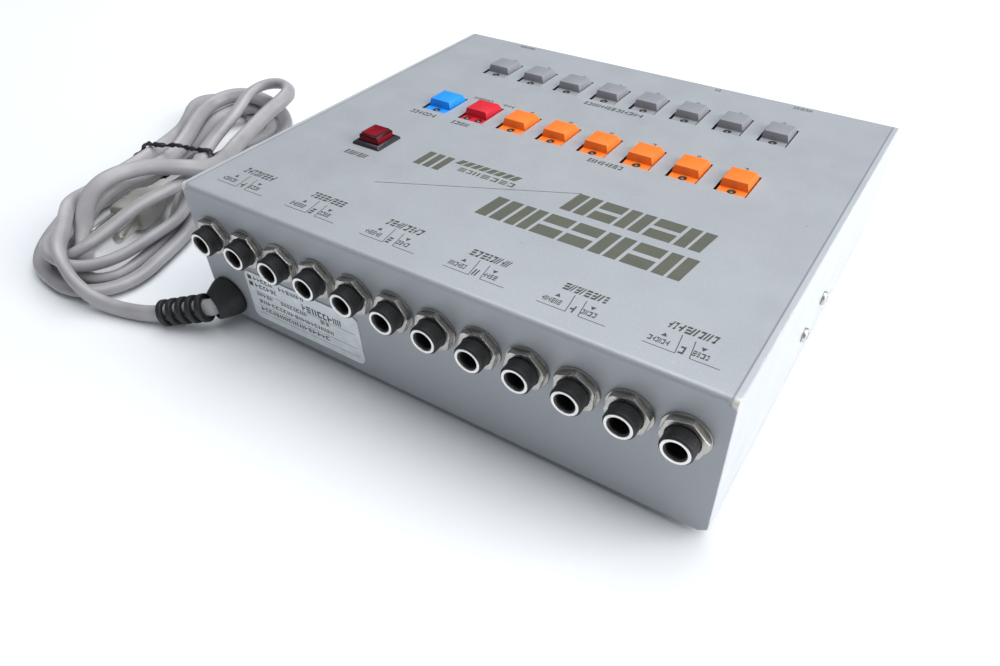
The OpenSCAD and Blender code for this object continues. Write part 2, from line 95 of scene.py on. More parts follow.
class Mat:
    """A small helper that builds a node material around one Principled shader."""

    def __init__(self, name, base, rough=0.45, metal=0.0, **extra):
        self.m = bpy.data.materials.new(name)
        self.m.use_nodes = True
        self.nt = self.m.node_tree
        self.p = self.nt.nodes["Principled BSDF"]
        self.p.inputs["Base Color"].default_value = base
        self.p.inputs["Roughness"].default_value = rough
        self.p.inputs["Metallic"].default_value = metal
        for k, v in extra.items():
            self.p.inputs[k.replace("_", " ")].default_value = v
        self.base = base
        self.rough = rough
        self.coord = self.nt.nodes.new("ShaderNodeTexCoord")
        self.colour_out = None
        self.height = []

    def node(self, kind, **props):
        n = self.nt.nodes.new(kind)
        for k, v in props.items():
            setattr(n, k, v)
        return n

    def link(self, a, b):
        self.nt.links.new(a, b)

    def noise(self, scale, detail=3.0, rough=0.55, stretch=None, kind="ShaderNodeTexNoise"):
        n = self.node(kind)
        n.inputs["Scale"].default_value = scale
        if "Detail" in n.inputs:
            n.inputs["Detail"].default_value = detail
        if "Roughness" in n.inputs:
            n.inputs["Roughness"].default_value = rough
        src = self.coord.outputs["Object"]
        if stretch:
            mp = self.node("ShaderNodeMapping")
            mp.inputs["Scale"].default_value = stretch
            self.link(src, mp.inputs["Vector"])
            src = mp.outputs["Vector"]
        self.link(src, n.inputs["Vector"])
        return n.outputs[0]

    def ramp(self, value, lo, hi, out_lo=0.0, out_hi=1.0):
        n = self.node("ShaderNodeMapRange")
        n.inputs["From Min"].default_value = lo
        n.inputs["From Max"].default_value = hi
        n.inputs["To Min"].default_value = out_lo
        n.inputs["To Max"].default_value = out_hi
        self.link(value, n.inputs["Value"])
        return n.outputs["Result"]

    def math(self, op, a, b=0.0, c=0.0):
        n = self.node("ShaderNodeMath", operation=op)
        for i, v in enumerate((a, b, c)):
            if isinstance(v, (int, float)):
                n.inputs[i].default_value = v
            else:
                self.link(v, n.inputs[i])
        return n.outputs[0]

    def mix(self, fac, colour):
        """Mixes colour over what the base colour is so far, by fac."""
        n = self.node("ShaderNodeMix", data_type="RGBA")
        ins = [s for s in n.inputs if s.type == "RGBA"]
        f = n.inputs[0]
        if isinstance(fac, (int, float)):
            f.default_value = fac
        else:
            self.link(fac, f)
        if self.colour_out is None:
            ins[0].default_value = self.base
        else:
            self.link(self.colour_out, ins[0])
        if isinstance(colour, tuple):
            ins[1].default_value = colour
        else:
            self.link(colour, ins[1])
        self.colour_out = [s for s in n.outputs if s.type == "RGBA"][0]
        self.link(self.colour_out, self.p.inputs["Base Color"])
        return self

    def vary(self, scale, amount, dark=None, light=None):
        """Broad mottling between a darker and a lighter tone."""
        b = self.base
        dark = dark or tuple(c * (1 - amount) for c in b[:3]) + (1,)
        light = light or tuple(min(1, c * (1 + amount)) for c in b[:3]) + (1,)
        n = self.noise(scale, 4)
        self.mix(self.ramp(n, 0.5, 0.72), light)
        self.mix(self.ramp(n, 0.5, 0.28), dark)
        return self

    def roughness(self, scale, lo, hi, stretch=None):
        self.link(self.ramp(self.noise(scale, 3, stretch=stretch), 0.3, 0.7, lo, hi), self.p.inputs["Roughness"])
        return self

    def bump(self, scale, strength, distance=0.0001, stretch=None, kind="ShaderNodeTexNoise", src=None):
        b = self.node("ShaderNodeBump")
        b.inputs["Strength"].default_value = strength
        b.inputs["Distance"].default_value = distance
        self.link(src if src is not None else self.noise(scale, 2, stretch=stretch, kind=kind), b.inputs["Height"])
        if self.height:
            self.link(self.height[-1], b.inputs["Normal"])
        self.height.append(b.outputs["Normal"])
        self.link(b.outputs["Normal"], self.p.inputs["Normal"])
        return self

    def xyz(self):
        s = self.node("ShaderNodeSeparateXYZ")
        self.link(self.coord.outputs["Object"], s.inputs[0])
        return s.outputs

    def specks(self, scale, threshold, colour, width=0.03):
        n = self.noise(scale, 2)
        self.mix(self.ramp(n, threshold, threshold + width), colour)
        return self


MATS = {}


def keep(key, m):
    MATS[key] = m.m
    return m


def painted(key, base, wear_and_painted_light=False):
    m = Mat(key, base, 0.44, 0.18, Coat_Weight=0.06, Coat_Roughness=0.35)
    m.vary(18, 0.035)
    # metallic flake in the lacquer
    m.mix(m.ramp(m.noise(2600, 1), 0.60, 0.80, 0, 0.30), srgb(226, 230, 236))
    m.mix(m.ramp(m.noise(2100, 1), 0.40, 0.22, 0, 0.25), srgb(120, 126, 134))
    # handling marks and faint scuffs
    m.mix(m.ramp(m.noise(46, 6, 0.7, (1.0, 4.0, 1.0)), 0.66, 0.80, 0, 0.16), srgb(206, 210, 214))
    m.specks(300, 0.80, srgb(110, 106, 102), 0.01)
    x, y, z = m.xyz()
    edge = m.noise(130, 5, 0.75)
    if wear_and_painted_light:
        # along the two long top edges: a painted highlight on the bend and a painted shadow line just inside it; paint
        # rubbed through along the two long edges and at the rear corners
        ax = m.math("ABSOLUTE", x)
        near = m.ramp(ax, 0.1092, 0.1099)
        fac = m.math("MULTIPLY", near, m.ramp(edge, 0.52, 0.60))
        depth = m.math("SUBTRACT", m.math("SUBTRACT", z, 0.058), m.math("MULTIPLY", y, 0.06))
        top = m.ramp(depth, -0.0028, -0.0022)
        # painted highlight: a light band on the bend of the top edge
        m.mix(m.math("MULTIPLY", m.math("MULTIPLY", m.ramp(ax, 0.1080, 0.1083), top), 0.5), srgb(196, 200, 206))
        # painted shadow: a dark line just inside the bend
        line = m.math("MULTIPLY", m.ramp(ax, 0.1075, 0.1078), m.ramp(ax, 0.1084, 0.1081))
        m.mix(m.math("MULTIPLY", m.math("MULTIPLY", line, top), 0.55), srgb(92, 96, 102))
        m.mix(m.math("MULTIPLY", fac, 0.25), srgb(218, 218, 214))
        d1 = m.math("ADD", m.math("ABSOLUTE", m.math("SUBTRACT", ax, 0.110)), m.math("ABSOLUTE", m.math("SUBTRACT", m.math("ABSOLUTE", y), 0.0995)))
        d1 = m.math("ADD", d1, m.math("ABSOLUTE", m.math("SUBTRACT", z, 0.0628)))
        chip = m.math("MULTIPLY", m.ramp(d1, 0.0034, 0.0018), m.ramp(edge, 0.40, 0.52))
        m.mix(chip, srgb(226, 222, 214))
        # the cut walls of the openings are darkened: painted shade in the gaps round the keys
        # mask of the key-hole walls that take the painted shade
        inside = m.math("MULTIPLY", m.ramp(ax, 0.105, 0.104), m.ramp(m.math("ABSOLUTE", y), 0.095, 0.094))
        m.mix(m.math("MULTIPLY", m.ramp(depth, -0.00012, -0.0003), inside), srgb(38, 38, 40))
    m.roughness(60, 0.36, 0.50)
    m.bump(1500, 0.10, 0.00006)
    m.bump(240, 0.05, 0.0002)
    return keep(key, m)


painted("housing_paint", srgb(167, 171, 176), True)
# the chassis is the same paint as the housing, given a lighter base: painted light for the brightly lit side panels
painted("chassis_paint", srgb(196, 200, 204))

def moulded(key, base, rough=0.42, grain=0.12, var=0.05, dust=0.10, **extra):
    m = Mat(key, base, rough, 0.0, **extra)
    m.vary(140, var)
    m.mix(m.ramp(m.noise(900, 4, 0.7), 0.62, 0.78, 0, dust), tuple(min(1, c * 0.75 + 0.22) for c in base[:3]) + (1,))
    m.roughness(420, rough - 0.06, rough + 0.10)
    m.bump(1900, grain, 0.00005)
    return keep(key, m)


moulded("key_grey", srgb(140, 142, 148))
moulded("key_orange", srgb(255, 122, 30), var=0.03)
moulded("key_red", srgb(212, 14, 42), var=0.04)
moulded("key_blue", srgb(14, 146, 246), var=0.03)
moulded("bezel_plastic", srgb(40, 42, 45), 0.30, 0.08, 0.08, 0.05)
moulded("switch_plastic", srgb(26, 26, 28), 0.5)
moulded("jack_plastic", srgb(30, 32, 34), 0.46, 0.16, 0.12, 0.10)
moulded("foot_rubber", srgb(28, 28, 29), 0.75, 0.3, 0.15, 0.12)
moulded("boot_rubber", srgb(32, 33, 35), 0.52, 0.2, 0.12, 0.10)
moulded("chip_epoxy", srgb(24, 24, 26), 0.6, 0.25)
moulded("ribbon_vinyl", srgb(150, 154, 160), 0.45).bump(10, 0.6, 0.0003, (1, 60, 1), "ShaderNodeTexNoise")
moulded("coil_tape", srgb(206, 186, 96), 0.4, 0.15, 0.08).bump(10, 0.5, 0.0004, (1, 1, 45))
moulded("capacitor_sleeve", srgb(40, 52, 110), 0.22, 0.05)
moulded("battery_sleeve", srgb(52, 138, 80), 0.25, 0.05)
moulded("plug_vinyl", srgb(176, 176, 170), 0.33, 0.12, 0.06)
moulded("print_ink", srgb(62, 64, 60), 0.55, 0.15, 0.12, 0.12)
moulded("title_ink", srgb(86, 88, 76), 0.55, 0.15, 0.08, 0.10)

# power lens: tinted clear plastic with a ribbed inside
m = Mat("lens_red", srgb(124, 0, 24), 0.30, 0.0, IOR=1.42, Specular_IOR_Level=0.2)
m.vary(160, 0.08, srgb(116, 0, 22), srgb(130, 0, 28))
m.bump(900, 0.03, 0.00003)
m.roughness(300, 0.22, 0.32)
keep("lens_red", m)
# a darker copy of the lens colour for the cap's corners and edge bands: painted shade
m = Mat("lens_dark", srgb(40, 2, 14), 0.30, 0.0, Specular_IOR_Level=0.3)
m.vary(260, 0.12)
m.bump(900, 0.06, 0.00005)
keep("lens_dark", m)
m = Mat("led_lens", srgb(136, 136, 114), 0.35, 0.0, Coat_Weight=0.15, Coat_Roughness=0.2)
m.vary(1200, 0.18)
m.bump(1500, 0.06, 0.00004)
keep("led_lens", m)
m = Mat("led_rim", srgb(44, 42, 34), 0.4)
m.vary(1200, 0.2)
m.bump(1500, 0.08, 0.00004)
keep("led_rim", m)


def metal(key, base, rough, brushed=None, dull=None, bump=0.1):
    m = Mat(key, base, rough, 1.0)
    m.vary(220, 0.10)
    if dull:
        m.mix(m.ramp(m.noise(260, 5, 0.65), 0.50, 0.74, 0, 0.6), dull)
    m.roughness(700 if brushed else 90, max(0.08, rough - 0.06), rough + 0.10, brushed)
    m.bump(900, bump, 0.00005, brushed)
    return keep(key, m)


metal("zinc_steel", srgb(205, 204, 198), 0.32, (1, 1, 6), srgb(150, 146, 136))
metal("ferrule_metal", srgb(232, 232, 230), 0.34, None, srgb(206, 203, 196), 0.03)
metal("socket_bore", srgb(84, 80, 78), 0.55, None, srgb(60, 56, 54), 0.03)
metal("nickel_plate", srgb(186, 183, 178), 0.27, None, srgb(158, 154, 147), 0.02)
metal("contact_brass", srgb(220, 190, 120), 0.28, None, srgb(160, 130, 78))
metal("core_steel", srgb(110, 108, 106), 0.5, (1, 30, 1), srgb(76, 70, 64), 0.4)
metal("blade_metal", srgb(224, 221, 212), 0.34, (1, 8, 1), srgb(190, 184, 170))
metal("plate_metal", srgb(232, 237, 240), 0.36, (60, 1, 1), srgb(216, 221, 225), 0.08)
MATS["plate_metal"].node_tree.nodes["Principled BSDF"].inputs["Metallic"].default_value = 0.2

for key, base in (("board_brown", srgb(150, 118, 62)), ("board_green", srgb(44, 104, 62))):
    m = Mat(key, base, 0.4)
    m.vary(60, 0.12)
    m.bump(700, 0.2, 0.0001)
    m.mix(m.ramp(m.noise(240, 1, 0.3, (1, 9, 1)), 0.62, 0.64, 0, 0.8), tuple(c * 0.6 for c in base[:3]) + (1,))
    keep(key, m)
m = Mat("fuse_glass", (0.86, 0.9, 0.9, 1), 0.05, 0.0, Transmission_Weight=0.9, IOR=1.5)
m.bump(300, 0.03, 0.0001)
m.vary(200, 0.04)
keep("fuse_glass", m)

# vinyl of the lead: satin, slightly yellowed, with scuffs and a faint lengthwise streak
m = Mat("cord_vinyl", srgb(170, 168, 171), 0.34, 0.0, Coat_Weight=0.15, Coat_Roughness=0.25)
m.vary(30, 0.07, srgb(152, 149, 151), srgb(184, 182, 186))
m.mix(m.ramp(m.noise(700, 5, 0.7), 0.64, 0.78, 0, 0.25), srgb(120, 116, 108))
m.mix(m.ramp(m.noise(90, 5, 0.7), 0.62, 0.76, 0, 0.20), srgb(142, 134, 122))
m.roughness(160, 0.28, 0.46)
m.bump(620, 0.10, 0.0001)
keep("cord_vinyl", m)
m = Mat("tie_wrap", srgb(26, 26, 27), 0.62)
m.vary(400, 0.3)
m.mix(m.ramp(m.noise(1500, 4, 0.7), 0.60, 0.76, 0, 0.35), srgb(92, 90, 86))
m.bump(1100, 0.6, 0.0003)
keep("tie_wrap", m)

for n, o in NODE.items():
    key = next((s["material_slot"] for s in frame["record"]["subparts"] if s["node"] == n), None)
    if key in MATS:
        o.data.materials.clear() if not o.material_slots else None
        if not o.material_slots:
            o.data.materials.append(MATS[key])
        for s in o.material_slots:
            s.material = MATS[key]

# floor
fm = Mat("floor_paper", srgb(240, 242, 245), 0.8)
fm.vary(3, 0.012)
fm.bump(300, 0.03, 0.0002)
fl = bpy.data.meshes.new("floor")
fl.from_pydata([(-6, -6, 0), (6, -6, 0), (6, 6, 0), (-6, 6, 0)], [], [(0, 1, 2, 3)])
floor = bpy.data.objects.new("floor", fl)
fl.materials.append(fm.m)
scene.collection.objects.link(floor)


# ------------------------------------------------------------- mesh helpers
class Build:
    """Collects vertices in millimetres, with a material number per face."""

    def __init__(self):
        self.v, self.f, self.m = [], [], []

    def add(self, verts, faces, M=None, mat=0):
        o = len(self.v)
        self.v += [tuple(M @ Vector(p)) if M is not None else tuple(p) for p in verts]
        self.f += [[i + o for i in f] for f in faces]
        self.m += [mat] * len(faces) if isinstance(mat, int) else list(mat)

    def lathe(self, prof, n=32, M=None, mat=0, loop=True, r_fn=None):
        """Turns a profile of (radius, height) about the local Z axis. A loop profile closes on itself."""
        vs, fs = [], []
        for k in range(n):
            a = 2 * math.pi * k / n
            for j, (r, z) in enumerate(prof):
                rr = r if r_fn is None else r_fn(r, z, a)
                vs.append((rr * math.cos(a), rr * math.sin(a), z))
        c = len(prof)
        for k in range(n):
            k2 = (k + 1) % n
            for j in range(c if loop else c - 1):
                j2 = (j + 1) % c
                fs.append([k * c + j, k2 * c + j, k2 * c + j2, k * c + j2])
        if not loop:
            fs.append([k * c for k in range(n - 1, -1, -1)])
            fs.append([k * c + c - 1 for k in range(n)])
        self.add(vs, fs, M, mat)

    def box(self, x0, x1, y0, y1, z0, z1, M=None, mat=0):
        v = [(x, y, z) for z in (z0, z1) for x, y in ((x0, y0), (x1, y0), (x1, y1), (x0, y1))]
        self.add(v, [[3, 2, 1, 0], [4, 5, 6, 7], [0, 1, 5, 4], [1, 2, 6, 5], [2, 3, 7, 6], [3, 0, 4, 7]], M, mat)

    def mesh(self, name):
        me = bpy.data.meshes.new(name)
        me.from_pydata([(x * MM, y * MM, z * MM) for x, y, z in self.v], [], self.f)
        me.polygons.foreach_set("material_index", self.m)
        bm = bmesh.new()
        bm.from_mesh(me)
        bmesh.ops.recalc_face_normals(bm, faces=bm.faces)
        bm.to_mesh(me)
        bm.free()
        me.update()
        return me


def finish_mesh(me, angle=32):
    me.shade_smooth()
    me.set_sharp_from_angle(angle=RAD(angle))


def bevelled(me, width, segments=2, angle=28, cutters=()):
    """A copy of the mesh with holes cut and its sharp edges rounded."""
    o = bpy.data.objects.new("tmp", me)
    scene.collection.objects.link(o)
    tmp = [o]
    for c in cutters:
        co = bpy.data.objects.new("cut", c)
        scene.collection.objects.link(co)
        tmp.append(co)
        b = o.modifiers.new("cut", "BOOLEAN")
        b.operation, b.object, b.solver = "DIFFERENCE", co, "EXACT"
    if width:
        b = o.modifiers.new("bevel", "BEVEL")
        b.width, b.segments, b.limit_method, b.angle_limit = width * MM, segments, "ANGLE", RAD(angle)
        b.harden_normals = False
    dg = bpy.context.evaluated_depsgraph_get()
    dg.update()
    out = bpy.data.meshes.new_from_object(o.evaluated_get(dg), depsgraph=dg)
    for t in tmp:
        bpy.data.objects.remove(t)
    return out


def piece(name, me, mats, nodes=(), body="housing", angle=32):
    o = bpy.data.objects.new(name, me)
    scene.collection.objects.link(o)
    index = [p.material_index for p in me.polygons]
    me.materials.clear()
    for k in mats:
        me.materials.append(MATS[k])
    # clear() sends every face back to the first material
    me.polygons.foreach_set("material_index", [min(i, len(mats) - 1) for i in index])
    finish_mesh(me, angle)
    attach(o, body)
    if nodes:
        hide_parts(*nodes)
    return o


def T(x, y, z):
    return Matrix.Translation((x, y, z))


def R(deg, axis):
    return Matrix.Rotation(RAD(deg), 4, axis)


def top_z(y):
    return 52 + 12 * (y + 100) / 200


SLOPE = math.degrees(math.atan(12 / 200))


def on_panel(x, y):
    return T(x, y, top_z(y)) @ R(SLOPE, "X")


def on_rear(x, z):
    return T(x, 100, z) @ R(-90, "X")


def on_front(x, z):
    return T(x, -100, z) @ R(90, "X")


JACKS = [on_rear((i - 6.5) * 17.78, 44.4) for i in range(1, 13)] + [on_front(x, 25) for x in (-70, -30, 74)]

CORD = [
    (103.0, 109.2, 11.8, 88), (110.1, 112.4, 9.9, 88), (117.2, 115.6, 8.1, 88), (124.2, 118.9, 6.2, 88), (131.6, 121.8, 4.9, 87),
    (139.2, 124.0, 4.3, 87), (147.0, 125.9, 4.3, 87), (154.8, 127.5, 5.2, 87), (162.2, 128.6, 7.9, 86), (169.0, 128.6, 12.1, 86),
    (175.4, 127.0, 16.6, 86), (181.8, 123.6, 19.8, 85), (188.3, 118.9, 20.0, 85), (194.4, 113.8, 19.2, 84), (200.6, 108.7, 18.7, 82),
    (206.7, 103.5, 18.8, 81), (212.3, 97.8, 18.8, 80), (216.5, 91.1, 17.5, 79), (219.2, 83.7, 15.9, 78), (220.9, 76.0, 15.1, 76),
    (221.9, 68.0, 15.1, 75), (222.1, 60.0, 15.5, 74), (222.3, 52.0, 15.8, 72), (223.0, 44.0, 15.9, 70), (224.8, 36.2, 15.5, 67),
    (227.7, 28.8, 14.7, 64), (231.3, 21.8, 13.4, 62), (235.4, 15.1, 12.1, 60), (239.8, 8.4, 10.9, 58), (244.4, 1.9, 10.3, 56),
    (249.2, -4.5, 10.2, 54), (254.0, -10.9, 10.3, 52), (258.0, -17.8, 9.7, 50), (259.9, -25.4, 8.3, 47), (258.4, -33.0, 6.3, 43),
    (253.6, -39.1, 4.8, 40), (246.6, -42.9, 4.2, 38), (238.7, -43.9, 4.1, 36), (230.7, -43.1, 4.2, 35), (223.0, -41.2, 4.3, 33),
    (215.5, -38.3, 4.3, 31), (208.5, -34.5, 4.1, 29), (202.0, -29.7, 3.9, 27), (196.5, -23.9, 3.9, 25), (191.9, -17.4, 4.0, 24),
    (188.4, -10.2, 4.3, 22), (186.0, -2.6, 4.5, 20), (185.0, 5.3, 4.7, 19), (185.0, 13.3, 4.4, 17), (185.7, 21.3, 3.9, 16),
    (186.7, 29.2, 3.6, 14), (187.1, 37.2, 3.8, 13), (185.4, 45.0, 3.9, 11), (181.5, 51.9, 3.9, 10), (176.6, 58.2, 3.7, 10),
    (171.6, 64.5, 3.5, 11), (167.6, 71.4, 3.4, 11), (164.7, 78.9, 3.4, 11), (162.6, 86.6, 3.4, 12), (160.8, 94.4, 3.4, 12),
    (159.2, 102.2, 3.3, 13), (159.5, 110.2, 3.3, 13), (162.6, 117.6, 3.3, 14), (168.0, 123.4, 3.4, 15), (175.2, 126.9, 3.4, 17),
    (183.1, 128.0, 3.4, 22), (191.1, 127.4, 3.4, 27), (199.0, 125.9, 3.4, 31), (206.5, 123.1, 3.4, 35), (212.9, 118.3, 3.5, 39),
    (218.4, 112.5, 3.5, 38), (223.1, 106.1, 3.5, 36), (227.3, 99.2, 3.5, 34), (231.0, 92.1, 3.7, 33), (234.1, 84.7, 3.9, 32),
    (236.7, 77.1, 4.0, 30), (238.6, 69.4, 4.1, 28), (239.7, 61.5, 4.3, 27), (239.7, 53.5, 4.5, 25), (239.1, 45.5, 4.9, 23),
    (238.6, 37.5, 5.2, 21), (239.1, 29.6, 5.5, 20), (240.8, 21.8, 5.7, 20), (243.5, 14.3, 5.6, 20), (246.8, 7.0, 5.2, 20),
    (250.0, -0.3, 4.4, 20), (252.7, -7.8, 3.6, 20), (254.1, -15.6, 3.0, 20), (253.6, -23.6, 3.0, 20), (250.5, -30.8, 3.4, 20),
    (244.1, -35.3, 3.8, 20), (236.2, -35.6, 3.6, 20), (229.0, -32.3, 3.2, 20), (222.2, -28.0, 3.0, 20), (215.3, -24.0, 3.0, 20),
    (208.5, -20.0, 3.1, 20), (202.3, -15.0, 3.1, 20), (197.8, -8.4, 3.2, 21), (195.0, -1.0, 3.6, 22), (193.3, 6.7, 4.6, 23),
    (192.6, 14.5, 6.0, 25), (191.6, 22.3, 7.3, 26), (189.5, 29.8, 8.7, 27), (187.5, 37.3, 10.5, 28), (186.6, 45.1, 11.6, 30),
    (184.0, 52.6, 11.2, 31), (179.2, 58.9, 10.2, 32), (174.2, 65.0, 9.7, 33), (170.8, 72.2, 9.9, 34), (169.4, 80.1, 10.3, 35),
    (169.0, 88.0, 10.3, 36), (169.0, 96.0, 10.2, 38), (169.7, 104.0, 10.1, 39), (171.9, 111.7, 10.3, 41), (176.2, 118.3, 10.8, 43),
    (182.8, 122.6, 11.9, 45), (190.2, 123.6, 14.5, 44), (197.3, 120.2, 15.0, 43), (202.5, 114.5, 13.1, 42), (206.8, 107.9, 11.3, 42),
    (209.4, 100.4, 10.7, 41), (209.2, 92.7, 12.6, 40), (208.6, 85.6, 16.3, 42), (208.3, 77.9, 18.6, 44), (208.4, 69.9, 18.5, 46),
    (209.1, 62.0, 17.7, 48), (210.7, 54.2, 16.4, 50), (213.1, 46.8, 14.6, 52), (215.9, 39.4, 13.1, 53), (218.9, 32.0, 12.5, 55),
    (222.1, 24.7, 12.8, 57), (225.4, 17.4, 13.6, 59), (228.9, 10.3, 14.6, 59), (232.8, 3.3, 15.2, 58), (236.5, -3.8, 15.4, 57),
    (239.6, -11.2, 15.5, 55), (240.6, -19.1, 15.6, 54), (238.2, -26.6, 16.0, 52), (232.3, -31.8, 16.3, 50), (224.6, -33.9, 16.0, 47),
    (216.6, -34.0, 15.5, 43), (208.7, -33.0, 14.7, 39), (201.2, -30.8, 13.4, 35), (194.3, -27.0, 12.1, 31), (188.6, -21.5, 11.2, 26),
    (184.8, -14.5, 11.0, 22), (183.1, -6.7, 11.2, 20), (183.2, 1.3, 11.9, 20), (184.5, 9.1, 12.8, 20), (187.0, 16.7, 13.6, 20),
    (190.1, 24.0, 13.8, 20), (193.5, 31.2, 12.8, 20), (195.3, 38.7, 10.6, 20), (194.3, 46.1, 8.0, 20), (190.8, 53.0, 5.8, 20),
    (186.1, 59.3, 4.5, 20), (181.1, 65.5, 3.8, 21), (176.7, 72.1, 3.4, 23), (173.2, 79.3, 3.3, 25), (170.8, 86.9, 3.3, 27),
    (168.9, 94.7, 3.4, 29), (167.3, 102.5, 3.6, 31), (167.8, 110.4, 3.6, 35), (172.9, 116.4, 3.5, 39), (180.6, 118.2, 3.6, 43),
    (187.7, 114.9, 3.6, 45), (193.6, 109.6, 3.6, 45), (199.6, 104.7, 5.4, 45), (202.5, 99.9, 10.9, 45), (203.9, 95.5, 17.4, 45),
    (204.4, 89.9, 23.0, 44), (203.6, 82.7, 26.3, 41), (201.7, 75.1, 27.4, 38), (198.2, 68.0, 27.5, 35), (192.7, 62.2, 27.6, 32),
    (186.0, 57.9, 27.5, 30), (179.4, 53.5, 26.8, 35), (175.0, 47.2, 24.8, 41), (174.7, 39.7, 22.4, 47), (177.5, 32.5, 20.6, 51),
    (181.0, 25.3, 19.8, 56), (183.6, 17.8, 20.1, 60), (185.2, 10.1, 21.1, 59), (186.3, 2.2, 22.4, 58), (187.2, -5.6, 24.0, 57),
    (187.8, -13.4, 25.4, 56), (188.1, -21.3, 26.7, 56), (189.7, -29.0, 27.7, 54), (195.1, -34.8, 28.2, 48), (202.9, -36.0, 28.1, 43),
    (209.9, -32.3, 27.4, 36), (213.0, -25.2, 26.3, 30), (211.7, -17.4, 25.0, 24), (209.0, -10.0, 23.6, 18), (206.9, -2.5, 22.0, 12),
    (205.2, 5.2, 20.5, 10), (203.1, 12.8, 19.3, 9), (200.2, 20.2, 18.7, 9), (196.6, 27.4, 18.4, 8), (192.4, 34.2, 18.2, 7),
    (188.0, 40.8, 18.0, 7), (184.0, 47.8, 18.3, 6), (181.3, 55.2, 19.0, 5), (180.2, 63.1, 19.9, 5), (180.6, 71.1, 20.2, 5),
    (181.8, 78.9, 19.6, 5), (183.2, 86.7, 18.1, 5), (184.2, 94.4, 16.2, 5), (184.8, 102.2, 14.7, 6), (186.0, 110.0, 13.1, 17),
    (189.7, 116.4, 10.5, 31), (196.0, 118.9, 6.5, 45), (203.1, 116.5, 3.8, 42), (209.4, 111.7, 3.6, 40), (214.6, 105.7, 4.3, 38),
    (219.0, 99.1, 4.6, 36), (222.8, 92.1, 4.5, 34), (225.8, 84.7, 4.1, 32), (227.6, 76.9, 3.9, 31), (227.6, 69.0, 3.9, 30),
    (226.2, 61.1, 4.2, 31), (224.8, 53.3, 4.6, 31), (224.2, 45.4, 5.1, 32), (224.7, 37.4, 5.6, 32), (225.6, 29.5, 6.1, 32),
    (226.5, 21.6, 6.6, 33), (227.9, 13.7, 7.0, 33), (230.0, 6.0, 7.4, 34), (232.7, -1.4, 7.7, 34), (235.3, -9.0, 8.0, 35),
    (236.7, -16.8, 8.2, 34), (235.4, -24.7, 8.5, 32), (230.6, -30.9, 9.0, 29), (223.1, -33.5, 9.2, 26), (215.4, -32.0, 8.4, 24),
    (208.4, -28.2, 7.9, 22), (202.0, -23.4, 8.1, 20), (196.6, -17.5, 8.7, 18), (193.5, -10.2, 9.4, 17), (193.5, -2.3, 9.9, 15),
    (195.7, 5.4, 9.9, 14), (198.6, 12.8, 9.4, 12), (201.0, 20.4, 8.7, 11), (202.7, 28.2, 8.2, 9), (203.7, 36.1, 8.1, 7),
    (203.7, 44.1, 8.2, 5), (202.6, 52.0, 8.2, 0),
]

# ------------------------------------------------------------- mains lead
def catmull(P, step):
    """Even points on a smooth curve through P: each row is x, y, z and the roll of the oval."""
    out = []
    n = len(P)
    for i in range(n - 1):
        p0, p1, p2, p3 = P[max(i - 1, 0)], P[i], P[i + 1], P[min(i + 2, n - 1)]
        d = math.dist(p1[:3], p2[:3])
        k = max(1, round(d / step))
        for j in range(k):
            t = j / k
            out.append(tuple(0.5 * (2 * b + (c - a) * t + (2 * a - 5 * b + 4 * c - e) * t * t + (3 * b - a - 3 * c + e) * t ** 3) for a, b, c, e in zip(p0, p1, p2, p3)))
    out.append(tuple(P[-1]))
    return out


LINE = catmull([(100.9, 105.2, 13.1, 88), (101.6, 107.4, 12.6, 88)] + CORD, 2.6)
CENTRES = [Vector(p[:3]) for p in LINE]
UP = Vector((0, 0, 1))


def frames(C):
    """A wide-axis direction and a thin-axis direction for each ring, from the roll of the oval."""
    out = []
    for i, c in enumerate(C):
        t = (C[min(i + 1, len(C) - 1)] - C[max(i - 1, 0)]).normalized()
        h = UP.cross(t)
        h = h.normalized() if h.length > 1e-6 else Vector((1, 0, 0))
        u = t.cross(h).normalized()
        a = RAD(LINE[i][3])
        out.append((t, math.cos(a) * h + math.sin(a) * u, math.cos(a) * u - math.sin(a) * h))
    return out


FR = frames(CENTRES)
b = Build()
SIDES = 24
prof = []
for k in range(SIDES):
    a = 2 * math.pi * k / SIDES
    x, y = 4.0 * math.copysign(abs(math.cos(a)) ** 0.90, math.cos(a)), 2.72 * math.copysign(abs(math.sin(a)) ** 0.86, math.sin(a))
    y *= 1 - 0.075 * math.exp(-(x / 0.9) ** 2)  # shallow groove between the two cores
    prof.append((x, y))
vs, fs = [], []
for c, (t, mx, my) in zip(CENTRES, FR):
    vs += [(q.x, q.y, max(q.z, 0.04)) for q in (c + x * mx + y * my for x, y in prof)]
nr = len(CENTRES)
for i in range(nr - 1):
    for k in range(SIDES):
        k2 = (k + 1) % SIDES
        fs.append([i * SIDES + k, i * SIDES + k2, (i + 1) * SIDES + k2, (i + 1) * SIDES + k])
fs.append([k for k in range(SIDES - 1, -1, -1)])
fs.append([(nr - 1) * SIDES + k for k in range(SIDES)])
b.add(vs, fs)
lead = piece("mains_lead", b.mesh("mains_lead"), ["cord_vinyl"], ["cord_lead", "cord_hank"], angle=60)

